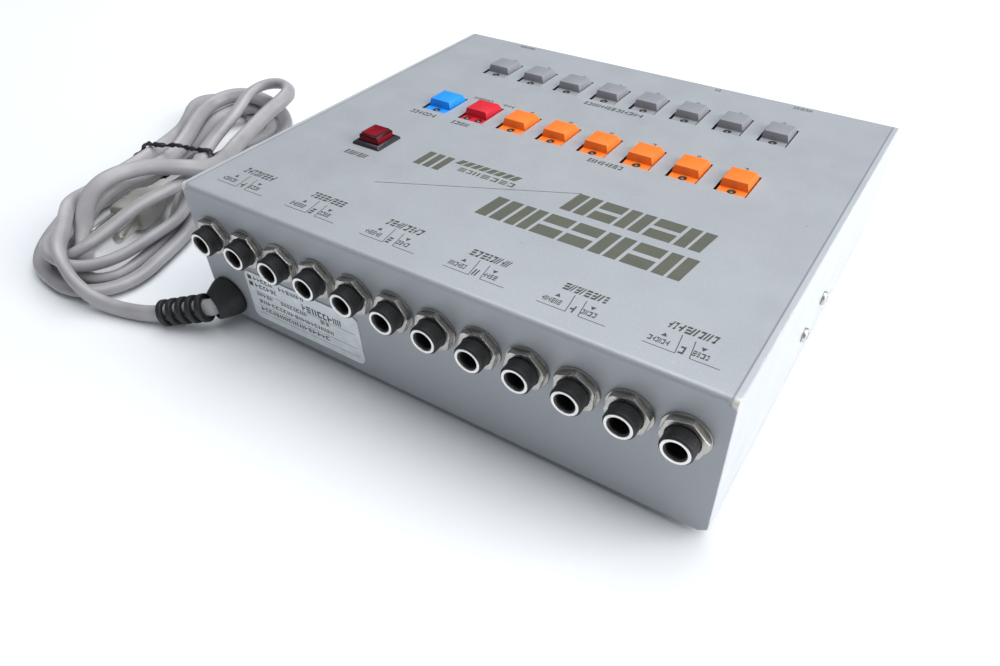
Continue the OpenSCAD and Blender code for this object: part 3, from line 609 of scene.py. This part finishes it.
# moulded boot: flange inside, neck, bulging cone with a soft rim and a mouth for the lead
b = Build()
M = on_rear(101, 13)
b.lathe([(4.3, -3.2), (6.6, -3.2), (6.6, -1.25), (5.5, -1.2), (5.5, 0.05), (8.4, 0.05), (8.75, 0.35), (8.8, 1.0), (8.72, 2.0), (8.45, 3.0),
         (7.95, 4.4), (7.3, 5.9), (6.7, 7.2), (6.25, 8.2), (5.95, 8.75), (5.6, 9.0), (5.1, 8.98), (4.85, 8.6), (4.7, 7.6), (4.5, 5.0)], 48, M)
me = b.mesh("boot")
for v in me.vertices:
    # the neck leans the way the lead leaves it
    f = min(1.0, max(0.0, (v.co.y - 0.1012) / 0.0076))
    v.co.y -= 0.30 * f * (v.co.x - 0.101)
    v.co.x += 0.0020 * f
    v.co.z -= 0.0012 * f
me.update()
piece("cord_boot_moulded", me, ["boot_rubber"], ["cord_boot"], angle=50)

# ribbed sleeve: five rounded ribs round the lead, joined by short bridges that alternate sides
b = Build()
p0, p1 = Vector((103, 109.2, 11.8)), Vector((129.6, 121.2, 4.8))
axis = (p1 - p0).normalized()
side = UP.cross(axis).normalized()
up2 = axis.cross(side).normalized()
def sleeve_at(s):
    o = p0 + axis * s
    return Matrix(((side.x, up2.x, axis.x, o.x), (side.y, up2.y, axis.y, o.y), (side.z, up2.z, axis.z, o.z), (0, 0, 0, 1)))
def rib(s, length, r, inner):
    e = 0.55
    pr = [(inner, 0.15), (inner + 0.25, 0)] + [(r - e + e * math.sin(a), e - e * math.cos(a)) for a in (0, 0.5, 1.05, 1.57)] \
        + [(r - e + e * math.cos(a), length - e + e * math.sin(a)) for a in (0, 0.5, 1.05, 1.57)] + [(inner + 0.25, length), (inner, length - 0.15)]
    def flat(rr, z, a):
        return rr * (1.0 - 0.10 * math.cos(a) ** 2) if rr > inner + 0.3 else rr * (0.82 + 0.18 * math.sin(a) ** 2)
    b.lathe(pr, 40, sleeve_at(s), r_fn=flat)
for i in range(5):
    rib(2.6 + i * 4.8, 2.5, 6.3 - i * 0.08, 4.2)
for i in range(1, 5):
    s = 2.6 + i * 4.8
    ends = (s - 2.6, s + 0.4)
    for sgn in (-1, 1):
        b.box(sgn * 3.9 - 0.7, sgn * 3.9 + 0.4, -0.9, 0.9, 0, ends[1] - ends[0], sleeve_at(ends[0]))
me = bevelled(b.mesh("sleeve"), 0.22, 2, 40)
sleeve = piece("strain_relief_ribbed", me, ["boot_rubber"], ["strain_relief"], angle=50)

# plug: lofted soft body with grip ribs, on the end of the lead
NEAR, FAR = Vector((199, 86, 0)), Vector((222.5, -8, 0))
hank_dir = (FAR - NEAR).normalized()
pang = math.degrees(math.atan2(-hank_dir.y, -hank_dir.x))
PM = T(203.5, 50, 8.2) @ R(pang, "Z") @ R(90, "Y")      # local Z runs along the plug, local Y across it
b = Build()
sec = [(0, 4.4, 3.2), (1.2, 4.75, 3.6), (3.6, 4.9, 3.9), (4.0, 4.5, 3.6), (4.8, 4.5, 3.6), (5.2, 5.1, 4.2), (7.6, 5.25, 4.4), (8.0, 4.8, 4.1),
       (8.8, 4.9, 4.2), (9.2, 5.6, 4.8), (11.6, 6.3, 5.1), (14.2, 8.2, 5.7), (16.6, 9.5, 6.2), (19, 9.9, 6.4), (21, 9.9, 6.4), (21.5, 9.6, 6.1), (22.3, 9.6, 6.1),
       (22.8, 9.95, 6.4), (24.3, 9.95, 6.4), (24.8, 9.6, 6.1), (25.6, 9.6, 6.1), (26.1, 9.95, 6.4), (30.4, 9.95, 6.45), (32.2, 9.7, 6.3), (32.8, 9.2, 5.9), (33.0, 8.6, 5.4)]
ns = 36
vs, fs = [], []
for s, wy, wz in sec:
    for k in range(ns):
        a = 2 * math.pi * k / ns
        ex = 0.55 if s > 12 else 0.85
        vs.append((wz * math.copysign(abs(math.sin(a)) ** ex, math.sin(a)), wy * math.copysign(abs(math.cos(a)) ** ex, math.cos(a)), s))
for i in range(len(sec) - 1):
    for k in range(ns):
        k2 = (k + 1) % ns
        fs.append([i * ns + k, i * ns + k2, (i + 1) * ns + k2, (i + 1) * ns + k])
fs.append(list(range(ns - 1, -1, -1)))
fs.append([(len(sec) - 1) * ns + k for k in range(ns)])
b.add(vs, fs, PM)
plug = piece("plug_moulded", b.mesh("plug"), ["plug_vinyl"], ["plug_body"], angle=45)

# flat blades with rounded noses and a through hole
def blade(M):
    out = []
    for k in range(9):
        a = math.pi * (k / 8 - 0.5)
        out.append((14.9 + 2.6 * math.cos(a), 3.1 * math.sin(a)))
    out = [(0, -3.1)] + out + [(0, 3.1)]
    hx, hz, hr = 12.3, 0.0, 1.75
    hole = [(hx + hr * math.cos(2 * math.pi * k / 20), hz + hr * math.sin(2 * math.pi * k / 20)) for k in range(20)]
    bb = Build()
    n = len(out)
    bb.add([(x, -0.75, z) for x, z in out] + [(x, 0.75, z) for x, z in out], [list(range(n - 1, -1, -1)), [n + i for i in range(n)]] + [[i, (i + 1) % n, n + (i + 1) % n, n + i] for i in range(n)])
    hb = Build()
    hb.add([(x, -2, z) for x, z in hole] + [(x, 2, z) for x, z in hole], [list(range(19, -1, -1)), [20 + i for i in range(20)]] + [[i, (i + 1) % 20, 20 + (i + 1) % 20, 20 + i] for i in range(20)])
    me = bevelled(bb.mesh("blade"), 0.28, 2, 30, [hb.mesh("hole")])
    return [tuple(M @ (Vector(v.co) / MM)) for v in me.vertices], [list(p.vertices) for p in me.polygons]
b = Build()
BM = T(203.5, 50, 8.2) @ R(pang, "Z")
for s in (-1, 1):
    v, f = blade(BM @ T(33, s * 6.35, 0))
    b.add(v, f)
blades = piece("plug_blades_flat", b.mesh("blades"), ["blade_metal"], ["plug_blades"], angle=30)

# paper-covered wire tie: one rough twisted loop round the waist of the hank, with two short tails
waist = Vector((213.5, 37, 0))
tdir = Vector((-hank_dir.y, hank_dir.x, 0))
pts = []
for c, (t, mx, my) in zip(CENTRES, FR):
    rel = c - waist
    if abs(rel.dot(hank_dir)) < 7:
        for k in range(16):
            a = 2 * math.pi * k / 16
            q = rel + 5.3 * math.cos(a) * mx + 3.9 * math.sin(a) * my
            pts.append((q.dot(tdir), max(0.95, c.z + (5.3 * math.cos(a) * mx + 3.9 * math.sin(a) * my).z)))
pts = [p for p in pts if -27 < p[0] < 27]
def hull2(P):
    P = sorted(set((round(x, 3), round(y, 3)) for x, y in P))
    def half(Q):
        h = []
        for p in Q:
            while len(h) > 1 and (h[-1][0] - h[-2][0]) * (p[1] - h[-2][1]) - (h[-1][1] - h[-2][1]) * (p[0] - h[-2][0]) <= 0:
                h.pop()
            h.append(p)
        return h
    a, c = half(P), half(P[::-1])
    return a[:-1] + c[:-1]
H = hull2(pts)
loop = []
for (x0, y0), (x1, y1) in zip(H, H[1:] + H[:1]):
    d = math.hypot(x1 - x0, y1 - y0)
    k = max(1, round(d / 1.3))
    loop += [(x0 + (x1 - x0) * j / k, y0 + (y1 - y0) * j / k) for j in range(k)]
rnd = random.Random(7)
def rope(path3, closed, r_wire=0.55, wing=1.25, turns=0.42, wob=0.35):
    """A twisted flat tie along a path: a wire core with a paper wing on each side."""
    n = len(path3)
    vs, fs = [], []
    ring = [(r_wire * 0.9, 0.0), (0.62, 0.42), (wing * 0.85, 0.20), (wing, 0.0), (wing * 0.85, -0.20), (0.62, -0.42), (0, -r_wire), (-0.62, -0.42), (-wing * 0.85, -0.20), (-wing, 0), (-wing * 0.85, 0.20), (-0.62, 0.42), (0, r_wire)]
    ring = ring[1:]
    c = len(ring)
    for i, p in enumerate(path3):
        a = path3[(i - 1) % n] if closed else path3[max(i - 1, 0)]
        q = path3[(i + 1) % n] if closed else path3[min(i + 1, n - 1)]
        t = (q - a).normalized()
        h = hank_dir.cross(t)
        h = h.normalized() if h.length > 1e-5 else UP
        w = t.cross(h)
        ang = turns * i + 0.5 * math.sin(i * 0.9)
        sc = 1 + wob * math.sin(i * 1.7) * 0.6 + rnd.uniform(-0.18, 0.18)
        for x, y in ring:
            X, Y = x * sc * math.cos(ang) - y * math.sin(ang), x * sc * math.sin(ang) + y * math.cos(ang)
            vs.append(tuple(p + X * w + Y * h))
    for i in range(n if closed else n - 1):
        i2 = (i + 1) % n
        for k in range(c):
            k2 = (k + 1) % c
            fs.append([i * c + k, i * c + k2, i2 * c + k2, i2 * c + k])
    if not closed:
        fs.append(list(range(c - 1, -1, -1)))
        fs.append([(n - 1) * c + k for k in range(c)])
    return vs, fs
b = Build()
path3 = [waist + tdir * x + hank_dir * (0.9 * math.sin(i * 0.33)) + UP * max(1.35, z + 0.25 * math.sin(i * 0.8)) for i, (x, z) in enumerate(loop)]
v, f = rope(path3, True)
b.add(v, f)
top_i = max(range(len(path3)), key=lambda i: path3[i].z)
ends = [p for p in path3 if p.z > 8]
low = min(path3, key=lambda p: (p - waist).dot(Vector((1, 0, 0))) * 1.0)
knot = min((p for p in path3 if p.z > 14), key=lambda p: p.x)
for j, (dx, dy, dz) in enumerate(((-7, -5, -3.0), (-9, 2.5, -1.0), (5, 6, 2.6))):
    seg = [knot + Vector((dx * s, dy * s + 1.2 * math.sin(3 * s + j), dz * s * s + 1.6)) for s in [k / 9 for k in range(10)]]
    v, f = rope(seg, False, turns=0.7)
    b.add(v, f)
# the knot: three tight turns
kn = [knot + Vector((1.7 * math.cos(a), 1.7 * math.sin(a), 1.2 + 0.16 * a)) for a in [k * 0.55 for k in range(22)]]
v, f = rope(kn, False, turns=0.9)
b.add(v, f)
tie = piece("wire_tie", b.mesh("tie"), ["tie_wrap"], ["twist_tie"], angle=35)


# ------------------------------------------------------------- keys
def key_mesh(lamps):
    w, e = 5.75, 5.5
    v = [(-w, -8.8, -4.5), (e, -8.8, -4.5), (e, 9.0, -4.5), (-w, 9.0, -4.5),
         (-w, -8.8, -0.45), (e, -8.8, -0.45), (e, 4.35, -0.45), (e, 9.0, -0.45), (-w, 9.0, -0.45), (-w, 4.35, -0.45),
         (-5.7, -8.3, 0.4), (5.45, -8.3, 0.4), (5.45, 4.3, 0.4), (-5.7, 4.3, 0.4),
         (-4.95, -6.6, 2.9), (4.9, -6.6, 2.9), (4.9, 3.85, 2.9), (-4.95, 3.85, 2.9)]
    f = [[3, 2, 1, 0], [0, 1, 5, 4], [1, 2, 7, 6, 5], [2, 3, 8, 7], [3, 0, 4, 9, 8], [9, 6, 7, 8],
         [4, 5, 11, 10], [5, 6, 12, 11], [6, 9, 13, 12], [9, 4, 10, 13],
         [10, 11, 15, 14], [11, 12, 16, 15], [12, 13, 17, 16], [13, 10, 14, 17], [14, 15, 16, 17]]
    b = Build()
    b.add(v, f)
    cuts = []
    for x in lamps:
        c = Build()
        c.lathe([(1.76, -6), (1.76, -0.36)], 28, T(x, 6.55, 0), loop=False)
        cuts.append(c.mesh("lamp_cut"))
    c = Build()
    c.box(-5.05, 5.05, -8.1, 3.35, -5, -1.7)
    cuts.append(c.mesh("hollow"))
    me = bevelled(b.mesh("key"), 0.42, 3, 24, cuts)
    # stem into the switch
    s = Build()
    s.add([tuple(Vector(q.co) / MM) for q in me.vertices], [list(p.vertices) for p in me.polygons])
    s.lathe([(2.5, -1.2), (2.5, -12.6), (2.3, -12.8), (0.4, -12.8), (0.4, -1.2)], 24, T(0, -2.4, 0))
    return s


ONE, TWO = key_mesh([0]), key_mesh([-2.9, 2.9])


def place_key(name, i, y, src, mat):
    b = Build()
    b.add(src.v, src.f, on_panel((i - 4.5) * 19.6, y))
    return piece(name + "_cap", b.mesh(name), [mat], [name], body=name, angle=30)


for i in range(1, 9):
    place_key("program_key_%d" % i, i, -63.3, ONE, "key_grey")
for i, c in enumerate("abcdef"):
    place_key("effector_key_" + c, i + 1, -14.5, ONE, "key_orange")
place_key("mode_key", 7, -14.5, TWO, "key_red")
place_key("bypass_key", 8, -14.5, ONE, "key_blue")

# lamps: a dark moulded collar round a paler lens, on two leads
b = Build()
def lamp(x, y, dx):
    M = on_panel(x, y) @ T(dx, 6.55, 0)
    b.lathe([(0.58, -1.6), (1.5, -1.6), (1.72, -1.0), (1.72, -0.72), (1.60, -0.56), (1.20, -0.52), (0.78, -0.66), (0.62, -0.85)], 32, M, 1)
    dome = [(0.60, -2.0)] + [(0.62 * math.cos(a), -0.95 + 0.36 * math.sin(a)) for a in (0, 0.35, 0.7, 1.05, 1.35)] + [(0.02, -0.59)]
    b.lathe(dome, 28, M, 0, loop=False)
    b.lathe([(1.48, -5.5), (1.48, -1.55), (0.2, -1.55), (0.2, -5.5)], 24, M, 1)
    for s in (-0.9, 0.9):
        b.box(s - 0.25, s + 0.25, -0.25, 0.25, -16, -5.4, M, 2)
for i in range(1, 9):
    lamp((i - 4.5) * 19.6, -63.3, 0)
for i in range(1, 7):
    lamp((i - 4.5) * 19.6, -14.5, 0)
lamp(2.5 * 19.6, -14.5, -2.9)
lamp(2.5 * 19.6, -14.5, 2.9)
lamp(3.5 * 19.6, -14.5, 0)
piece("lamps", b.mesh("lamps"), ["led_lens", "led_rim", "zinc_steel"], ["indicator_leds"], angle=40)

# power button: a tinted cap with a step, in a bevelled frame; its corner faces and edge bands take a darker copy of the
# lens colour, painted shade for the dark outlines at its edges
b = Build()
M = on_panel(70.3, 31.6)
def rect_rings(bb, rings, M, mats, cap=True):
    """Lofts rectangles (half-width, half-depth, corner cut, height) into one solid."""
    vs, fs, ms = [], [], []
    for hx, hy, c, z in rings:
        vs += [(hx, -hy + c, z), (hx, hy - c, z), (hx - c, hy, z), (-hx + c, hy, z), (-hx, hy - c, z), (-hx, -hy + c, z), (-hx + c, -hy, z), (hx - c, -hy, z)]
    for i in range(len(rings) - 1):
        for k in range(8):
            k2 = (k + 1) % 8
            fs.append([i * 8 + k, i * 8 + k2, (i + 1) * 8 + k2, (i + 1) * 8 + k])
            ms.append(mats[i] if k % 2 == 0 else 1)
    if cap:
        fs.append(list(range(7, -1, -1)))
        fs.append([(len(rings) - 1) * 8 + k for k in range(8)])
        ms += [0, mats[-1]]
    else:
        n = len(rings) - 1
        for k in range(8):
            k2 = (k + 1) % 8
            fs.append([n * 8 + k, n * 8 + k2, k2, k])
            ms.append(mats[-1])
    bb.add(vs, fs, M, ms)
rect_rings(b, [(4.9, 5.3, 0.45, -5), (4.9, 5.3, 0.45, 1.75), (4.86, 5.26, 0.45, 1.95), (4.86, 5.26, 0.45, 3.45), (4.72, 5.12, 0.5, 3.75), (4.3, 4.7, 0.6, 4.12), (4.05, 4.45, 0.5, 4.3),
               (4.0, 4.4, 0.5, 4.58), (3.75, 4.15, 0.5, 4.58), (3.6, 4.0, 0.5, 4.5)], M, [0, 1, 0, 1, 1, 0, 1, 1, 0, 0])
piece("power_cap", b.mesh("power_cap"), ["lens_red", "lens_dark"], ["power_button"], body="power_button", angle=28)
b = Build()
rect_rings(b, [(7.1, 7.4, 0.5, 0.02), (7.1, 7.4, 0.5, 0.45), (7.0, 7.3, 0.55, 0.62), (6.05, 6.35, 0.5, 1.38), (5.85, 6.15, 0.4, 1.49), (5.35, 5.75, 0.25, 1.49), (5.2, 5.6, 0.2, 1.35), (5.2, 5.6, 0.2, -1.0), (5.95, 6.25, 0.2, -1.0), (5.95, 6.25, 0.2, 0.02)], M, [0] * 10, cap=False)
piece("power_frame", b.mesh("power_frame"), ["bezel_plastic", "bezel_plastic"], ["power_bezel"], angle=25)

# ------------------------------------------------------------- sockets
rnd = random.Random(11)
bush, ring_, nut, wash = Build(), Build(), Build(), Build()
for M in JACKS:
    # threaded bush: the thread is cut as fine grooves, with a plain lead-in at the mouth
    prof = [(4.6, -1.3), (5.5, -1.3), (5.5, 2.9)]
    z = 2.9
    while z < 7.0:
        prof += [(5.5, z + 0.18), (5.26, z + 0.38), (5.5, z + 0.58)]
        z += 0.72
    prof += [(5.5, 7.35), (5.42, 7.5), (4.95, 7.98), (4.62, 8.0)]
    bush.lathe(prof, 48, M)
    bush.box(-7.3, 7.3, -7.3, 7.3, -25.1, -1.35, M)
    ring_.lathe([(3.78, 0.4), (4.59, 0.4), (4.59, 8.0), (4.75, 8.02), (4.80, 8.10), (4.72, 8.19), (4.55, 8.2), (3.94, 8.2), (3.82, 8.14), (3.78, 8.02)], 48, M)
    ring_.lathe([(3.2, 0.4), (3.80, 0.4), (3.80, 7.7), (3.45, 7.55), (3.24, 7.2), (3.2, 6.9)], 48, M, 1)
    # hexagon nut, chamfered on its outer side, turned a little differently on each socket
    turn = 15 + rnd.uniform(-14, 14)
    N = 48
    vs, fs = [], []
    for k in range(N):
        a = 2 * math.pi * k / N
        ph = (a % (math.pi / 3)) - math.pi / 6
        hexr = 7.0 / math.cos(ph)
        def lim(z):  # chamfer cone
            return 7.62 + (3.0 - z) * 1.0
        col = [(5.52, 0.8), (min(hexr - 0.12, 8.05), 0.8), (min(hexr, 8.1), 0.95), (min(hexr, lim(2.35)), 2.35), (min(hexr, lim(2.7)), 2.7), (min(hexr, lim(2.93)) - 0.05, 2.93), (min(hexr, 7.2) - 0.12, 3.0), (5.85, 3.0), (5.56, 2.8)]
        vs += [(r * math.cos(a), r * math.sin(a), z) for r, z in col]
        c = len(col)
    for k in range(N):
        k2 = (k + 1) % N
        for j in range(c):
            j2 = (j + 1) % c
            fs.append([k * c + j, k2 * c + j, k2 * c + j2, k * c + j2])
    nut.add(vs, fs, M @ R(turn, "Z"))
    wash.lathe([(5.6, 0.02), (8.0, 0.02), (8.1, 0.12), (8.1, 0.66), (7.98, 0.79), (5.7, 0.79), (5.6, 0.7)], 48, M)
piece("socket_bushes", bush.mesh("bushes"), ["jack_plastic"], ["jack_housings"], angle=25)
piece("socket_rings", ring_.mesh("rings"), ["ferrule_metal", "socket_bore"], ["jack_ferrules"], angle=30)
piece("socket_nuts", nut.mesh("nuts"), ["nickel_plate"], ["jack_nuts"], angle=22)
piece("socket_washers", wash.mesh("washers"), ["nickel_plate"], ["jack_washers"], angle=30)


# ------------------------------------------------------------- screws and feet
def screw_mesh(length, head_r=2.9, head_h=1.9, r=1.45):
    b = Build()
    prof = [(0.02, head_h)] + [(head_r * math.sin(a), head_h * (0.42 + 0.58 * math.cos(a))) for a in (0.35, 0.7, 1.0, 1.25, 1.45)] + [(head_r, head_h * 0.35), (head_r, 0.22), (head_r - 0.2, 0.0), (r, 0.0)]
    z = -0.2
    while z > -length + 0.6:
        prof += [(r, z), (r - 0.18, z - 0.22)]
        z -= 0.5
    prof += [(r - 0.1, -length + 0.2), (0.4, -length)]
    b.lathe(prof, 36, loop=False)
    cuts = []
    for a in (0, 90):
        c = Build()
        c.add([(-1.6, -0.36, head_h * 0.35), (1.6, -0.36, head_h * 0.35), (1.6, 0.36, head_h * 0.35), (-1.6, 0.36, head_h * 0.35),
               (-2.0, -0.5, head_h + 1), (2.0, -0.5, head_h + 1), (2.0, 0.5, head_h + 1), (-2.0, 0.5, head_h + 1)],
              [[3, 2, 1, 0], [4, 5, 6, 7], [0, 1, 5, 4], [1, 2, 6, 5], [2, 3, 7, 6], [3, 0, 4, 7]], R(a, "Z"))
        cuts.append(c.mesh("cross"))
    me = bevelled(b.mesh("screw"), 0, 1, 30, cuts)
    return [tuple(Vector(v.co) / MM) for v in me.vertices], [list(p.vertices) for p in me.polygons]


sv, sf = screw_mesh(6)
b = Build()
for s in (-1, 1):
    for y in (-14, 10.8):
        b.add(sv, sf, T(s * 110, y, 18.3) @ R(s * 90, "Y") @ R(25 * y, "Z"))
piece("side_screws_pan", b.mesh("side_screws"), ["zinc_steel"], ["side_screws"], angle=30)
b = Build()
for x in (-92, 92):
    for y in (-82, 82):
        b.lathe([(1.75, 0.9), (3.3, 0.9), (3.35, 0.15), (3.5, 0.0), (5.6, 0.0), (5.95, 0.12), (6.1, 0.4), (6.6, 2.0), (6.95, 2.85), (6.9, 3.0), (1.75, 3.0)], 36, T(x, y, 0))
piece("feet_moulded", b.mesh("feet"), ["foot_rubber"], ["rubber_feet"], angle=35)

# ------------------------------------------------------------- printing on the panels: plain generic marks
ink, title, plate = Build(), Build(), Build()
rnd = random.Random(5)


def mark(bb, M, x0, x1, y0, y1, slant=0.0, t=0.02, mat=0):
    """A thin printed block: local x0..x1 and y0..y1, leaning by slant."""
    v = [(x0, y0, 0.004), (x1, y0, 0.004), (x1 + slant, y1, 0.004), (x0 + slant, y1, 0.004)]
    v += [(a, c, t) for a, c, _ in v]
    bb.add(v, [[3, 2, 1, 0], [4, 5, 6, 7], [0, 1, 5, 4], [1, 2, 6, 5], [2, 3, 7, 6], [3, 0, 4, 7]], M, mat)


def word(bb, x0, x1, y0, y1, n, M=None, gap=0.24, slant=0.0, fill=0.6):
    """A row of n small blocks with uneven widths that stands for printed wording."""
    w = [rnd.uniform(0.7, 1.3) for _ in range(n)]
    total = sum(w)
    x = x0
    for k in w:
        step = (x1 - x0) * k / total
        a, c = x + step * gap * 0.5, x + step * (1 - gap * 0.5)
        m = M or PANEL
        h = y1 - y0
        kind = rnd.randrange(4)
        sl = lambda yy: slant * (yy - y0) / h if h else 0
        th = abs(c - a) * 0.34
        sg = 1 if c > a else -1
        if kind == 0:      # two uprights
            mark(bb, m, a, a + sg * th, y0, y1, slant)
            mark(bb, m, c - sg * th, c, y0, y1, slant)
        elif kind == 1:    # upright and two bars
            mark(bb, m, a, a + sg * th, y0, y1, slant)
            mark(bb, m, a + sg * th, c, y1 - h * 0.24, y1, sl(y1) * 0.24)
            mark(bb, m, a + sg * th, c, y0, y0 + h * 0.24, sl(y1) * 0.24)
        elif kind == 2:    # two bars and a middle bar
            for q in (0, 0.38, 0.76):
                mark(bb, m, a, c, y0 + h * q, y0 + h * (q + 0.24), slant * 0.24)
        else:
            mark(bb, m, a, a + sg * th, y0, y1, slant)
            mark(bb, m, a + sg * th, c, y0 + h * 0.38, y0 + h * 0.62, slant * 0.24)
        x += step


class Flat:
    """Places local (x, y) on the sloping panel by its real x and y."""

    def __matmul__(self, p):
        y = p[1]
        n = Vector((0, -math.sin(RAD(SLOPE)), math.cos(RAD(SLOPE))))
        return Vector((p[0], y, top_z(y))) + n * p[2]


PANEL = Flat()


def line(bb, xa, ya, xb, yb, w=0.28):
    d = Vector((xb - xa, yb - ya, 0)).normalized()
    s = Vector((-d.y, d.x, 0)) * w / 2
    q = [(xa - s.x, ya - s.y), (xb - s.x, yb - s.y), (xb + s.x, yb + s.y), (xa + s.x, ya + s.y)]
    v = [(a, c, 0.004) for a, c in q] + [(a, c, 0.02) for a, c in q]
    bb.add(v, [[3, 2, 1, 0], [4, 5, 6, 7], [0, 1, 5, 4], [1, 2, 6, 5], [2, 3, 7, 6], [3, 0, 4, 7]], PANEL)


def tri(bb, x, y, s, up):
    k = 1 if up else -1
    q = [(x - s, y - k * s * 0.8), (x + s, y - k * s * 0.8), (x, y + k * s)]
    v = [(a, c, 0.004) for a, c in q] + [(a, c, 0.02) for a, c in q]
    bb.add(v, [[2, 1, 0], [3, 4, 5], [0, 1, 4, 3], [1, 2, 5, 4], [2, 0, 3, 5]], PANEL)


for g in (-5, -3, -1, 1, 3, 5):
    x0 = g * 17.78
    word(ink, x0 - 7.6, x0 + 8.0, 76.9, 80.6, 8, slant=0.8)
    tri(ink, x0 + 7.0, 84.3, 0.95, False)
    tri(ink, x0 - 5.2, 84.6, 0.95, True)
    word(ink, x0 + 4.2, x0 + 11.0, 86.3, 88.7, 6)
    word(ink, x0 - 7.9, x0 - 2.8, 86.3, 88.7, 4)
    word(ink, x0 - 0.9, x0 + 0.9, 86.4, 89.9, 1, gap=0.1)
    line(ink, x0 + 11.5, 90.4, x0 + 1.3, 90.4)
    line(ink, x0 + 1.3, 90.4, x0 + 2.5, 81.6)
    line(ink, x0 - 12.2, 90.4, x0 - 3.1, 90.4)
    line(ink, x0 - 3.1, 90.4, x0 - 1.9, 82.3)
word(ink, 64.0, 75.4, 43.6, 46.7, 5, slant=0.5)
word(ink, 63.8, 77.3, -2.2, 0.8, 7)
word(ink, 46.2, 55.0, -2.2, 0.8, 4)
word(ink, -26.8, -11.4, -2.7, 0.4, 8)
word(ink, -13.0, 16.0, -51.3, -48.2, 14)
word(ink, 51.0, 61.2, -28.5, -26.3, 6)
word(ink, 39.7, 45.7, -28.5, -26.3, 4)
for i in range(1, 9):
    word(ink, (i - 4.5) * 19.6 + 0.6, (i - 4.5) * 19.6 + 2.2, -77.4, -75.2, 1, gap=0.1)
for i in range(1, 7):
    word(ink, (i - 4.5) * 19.6 + 0.1, (i - 4.5) * 19.6 + 1.7, -28.3, -25.9, 1, gap=0.1)
for x, n in ((-69.9, 6), (-30.2, 2), (73.8, 6)):
    word(ink, x - n * 0.72, x + n * 0.72, -96.6, -94.3, n)
line(ink, 48.3, 59.2, -22.6, 24.6, 0.3)


def slabs(bb, xs, y0, y1, seed):
    """Heavy title blocks: slanted bars, some notched, in place of the wording."""
    r = random.Random(seed)
    h = y1 - y0
    for a, c in zip(xs, xs[1:]):
        w = c - a
        p, q = a + w * 0.06, c - w * 0.06
        if r.random() < 0.5:
            mid = (p + q) / 2
            mark(bb, PANEL, p, mid - w * 0.05, y0, y1, 1.6)
            mark(bb, PANEL, mid + w * 0.05, q, y0, y1, 1.6)
        else:
            mark(bb, PANEL, p, q, y0, y0 + h * 0.42, 0.67)
            mark(bb, PANEL, p + 0.93, q + 0.93, y0 + h * 0.58, y1, 0.67)


slabs(title, [-77.2, -66.0, -54.6, -42.8, -31.2, -19.9, -9.5, 2.9], 42.9, 57.4, 3)
slabs(title, [-76.6, -65.6, -54.0, -43.0, -32.6, -21.4], 24.9, 38.4, 8)
for k in range(3):
    mark(title, PANEL, 33.2 + k * 4.5, 36.4 + k * 4.5, 27.2, 38.8, 0.6)
slabs(title, [1.6, 8.6, 16.0, 23.0, 30.4], 26.4, 30.2, 4)
word(title, 1.4, 27.8, 31.9, 34.8, 7)

piece("panel_print", ink.mesh("panel_print"), ["print_ink"], angle=20)
piece("panel_title", title.mesh("panel_title"), ["title_ink"], angle=20)

# rating plate printing: plain squares, rules and rows of blocks. Local x runs towards -X on the rear panel
RM = T(0, 100.4, 0) @ R(-90, "X") @ Matrix.Scale(-1, 4, (0, 1, 0))


def rmark(x0, x1, z0, z1):
    mark(plate, RM, x0, x1, z0, z1)


for z in (28.1, 24.8):
    rmark(83.6, 85.7, z, z + 2.1)
for (xa, xb, z, h, n) in ((72.2, 82.6, 28.2, 1.9, 5), (55.5, 69.0, 28.2, 1.9, 7), (70.8, 82.6, 24.9, 1.9, 6), (37.4, 57.6, 23.4, 3.1, 8), (74.0, 83.0, 20.6, 1.7, 6),
                          (55.5, 69.8, 20.6, 1.7, 8), (44.0, 49.0, 20.6, 1.7, 2), (42.5, 83.0, 16.8, 1.8, 20), (45.5, 83.0, 12.6, 2.0, 17)):
    word(plate, xb, xa, z, z + h, n, M=RM)
for z, xa, xb in ((22.6, 31.0, 84.0), (15.4, 31.0, 84.0), (11.0, 31.0, 84.0)):
    rmark(xa, xb, z, z + 0.16)
piece("plate_print", plate.mesh("plate_print"), ["print_ink"], angle=20)
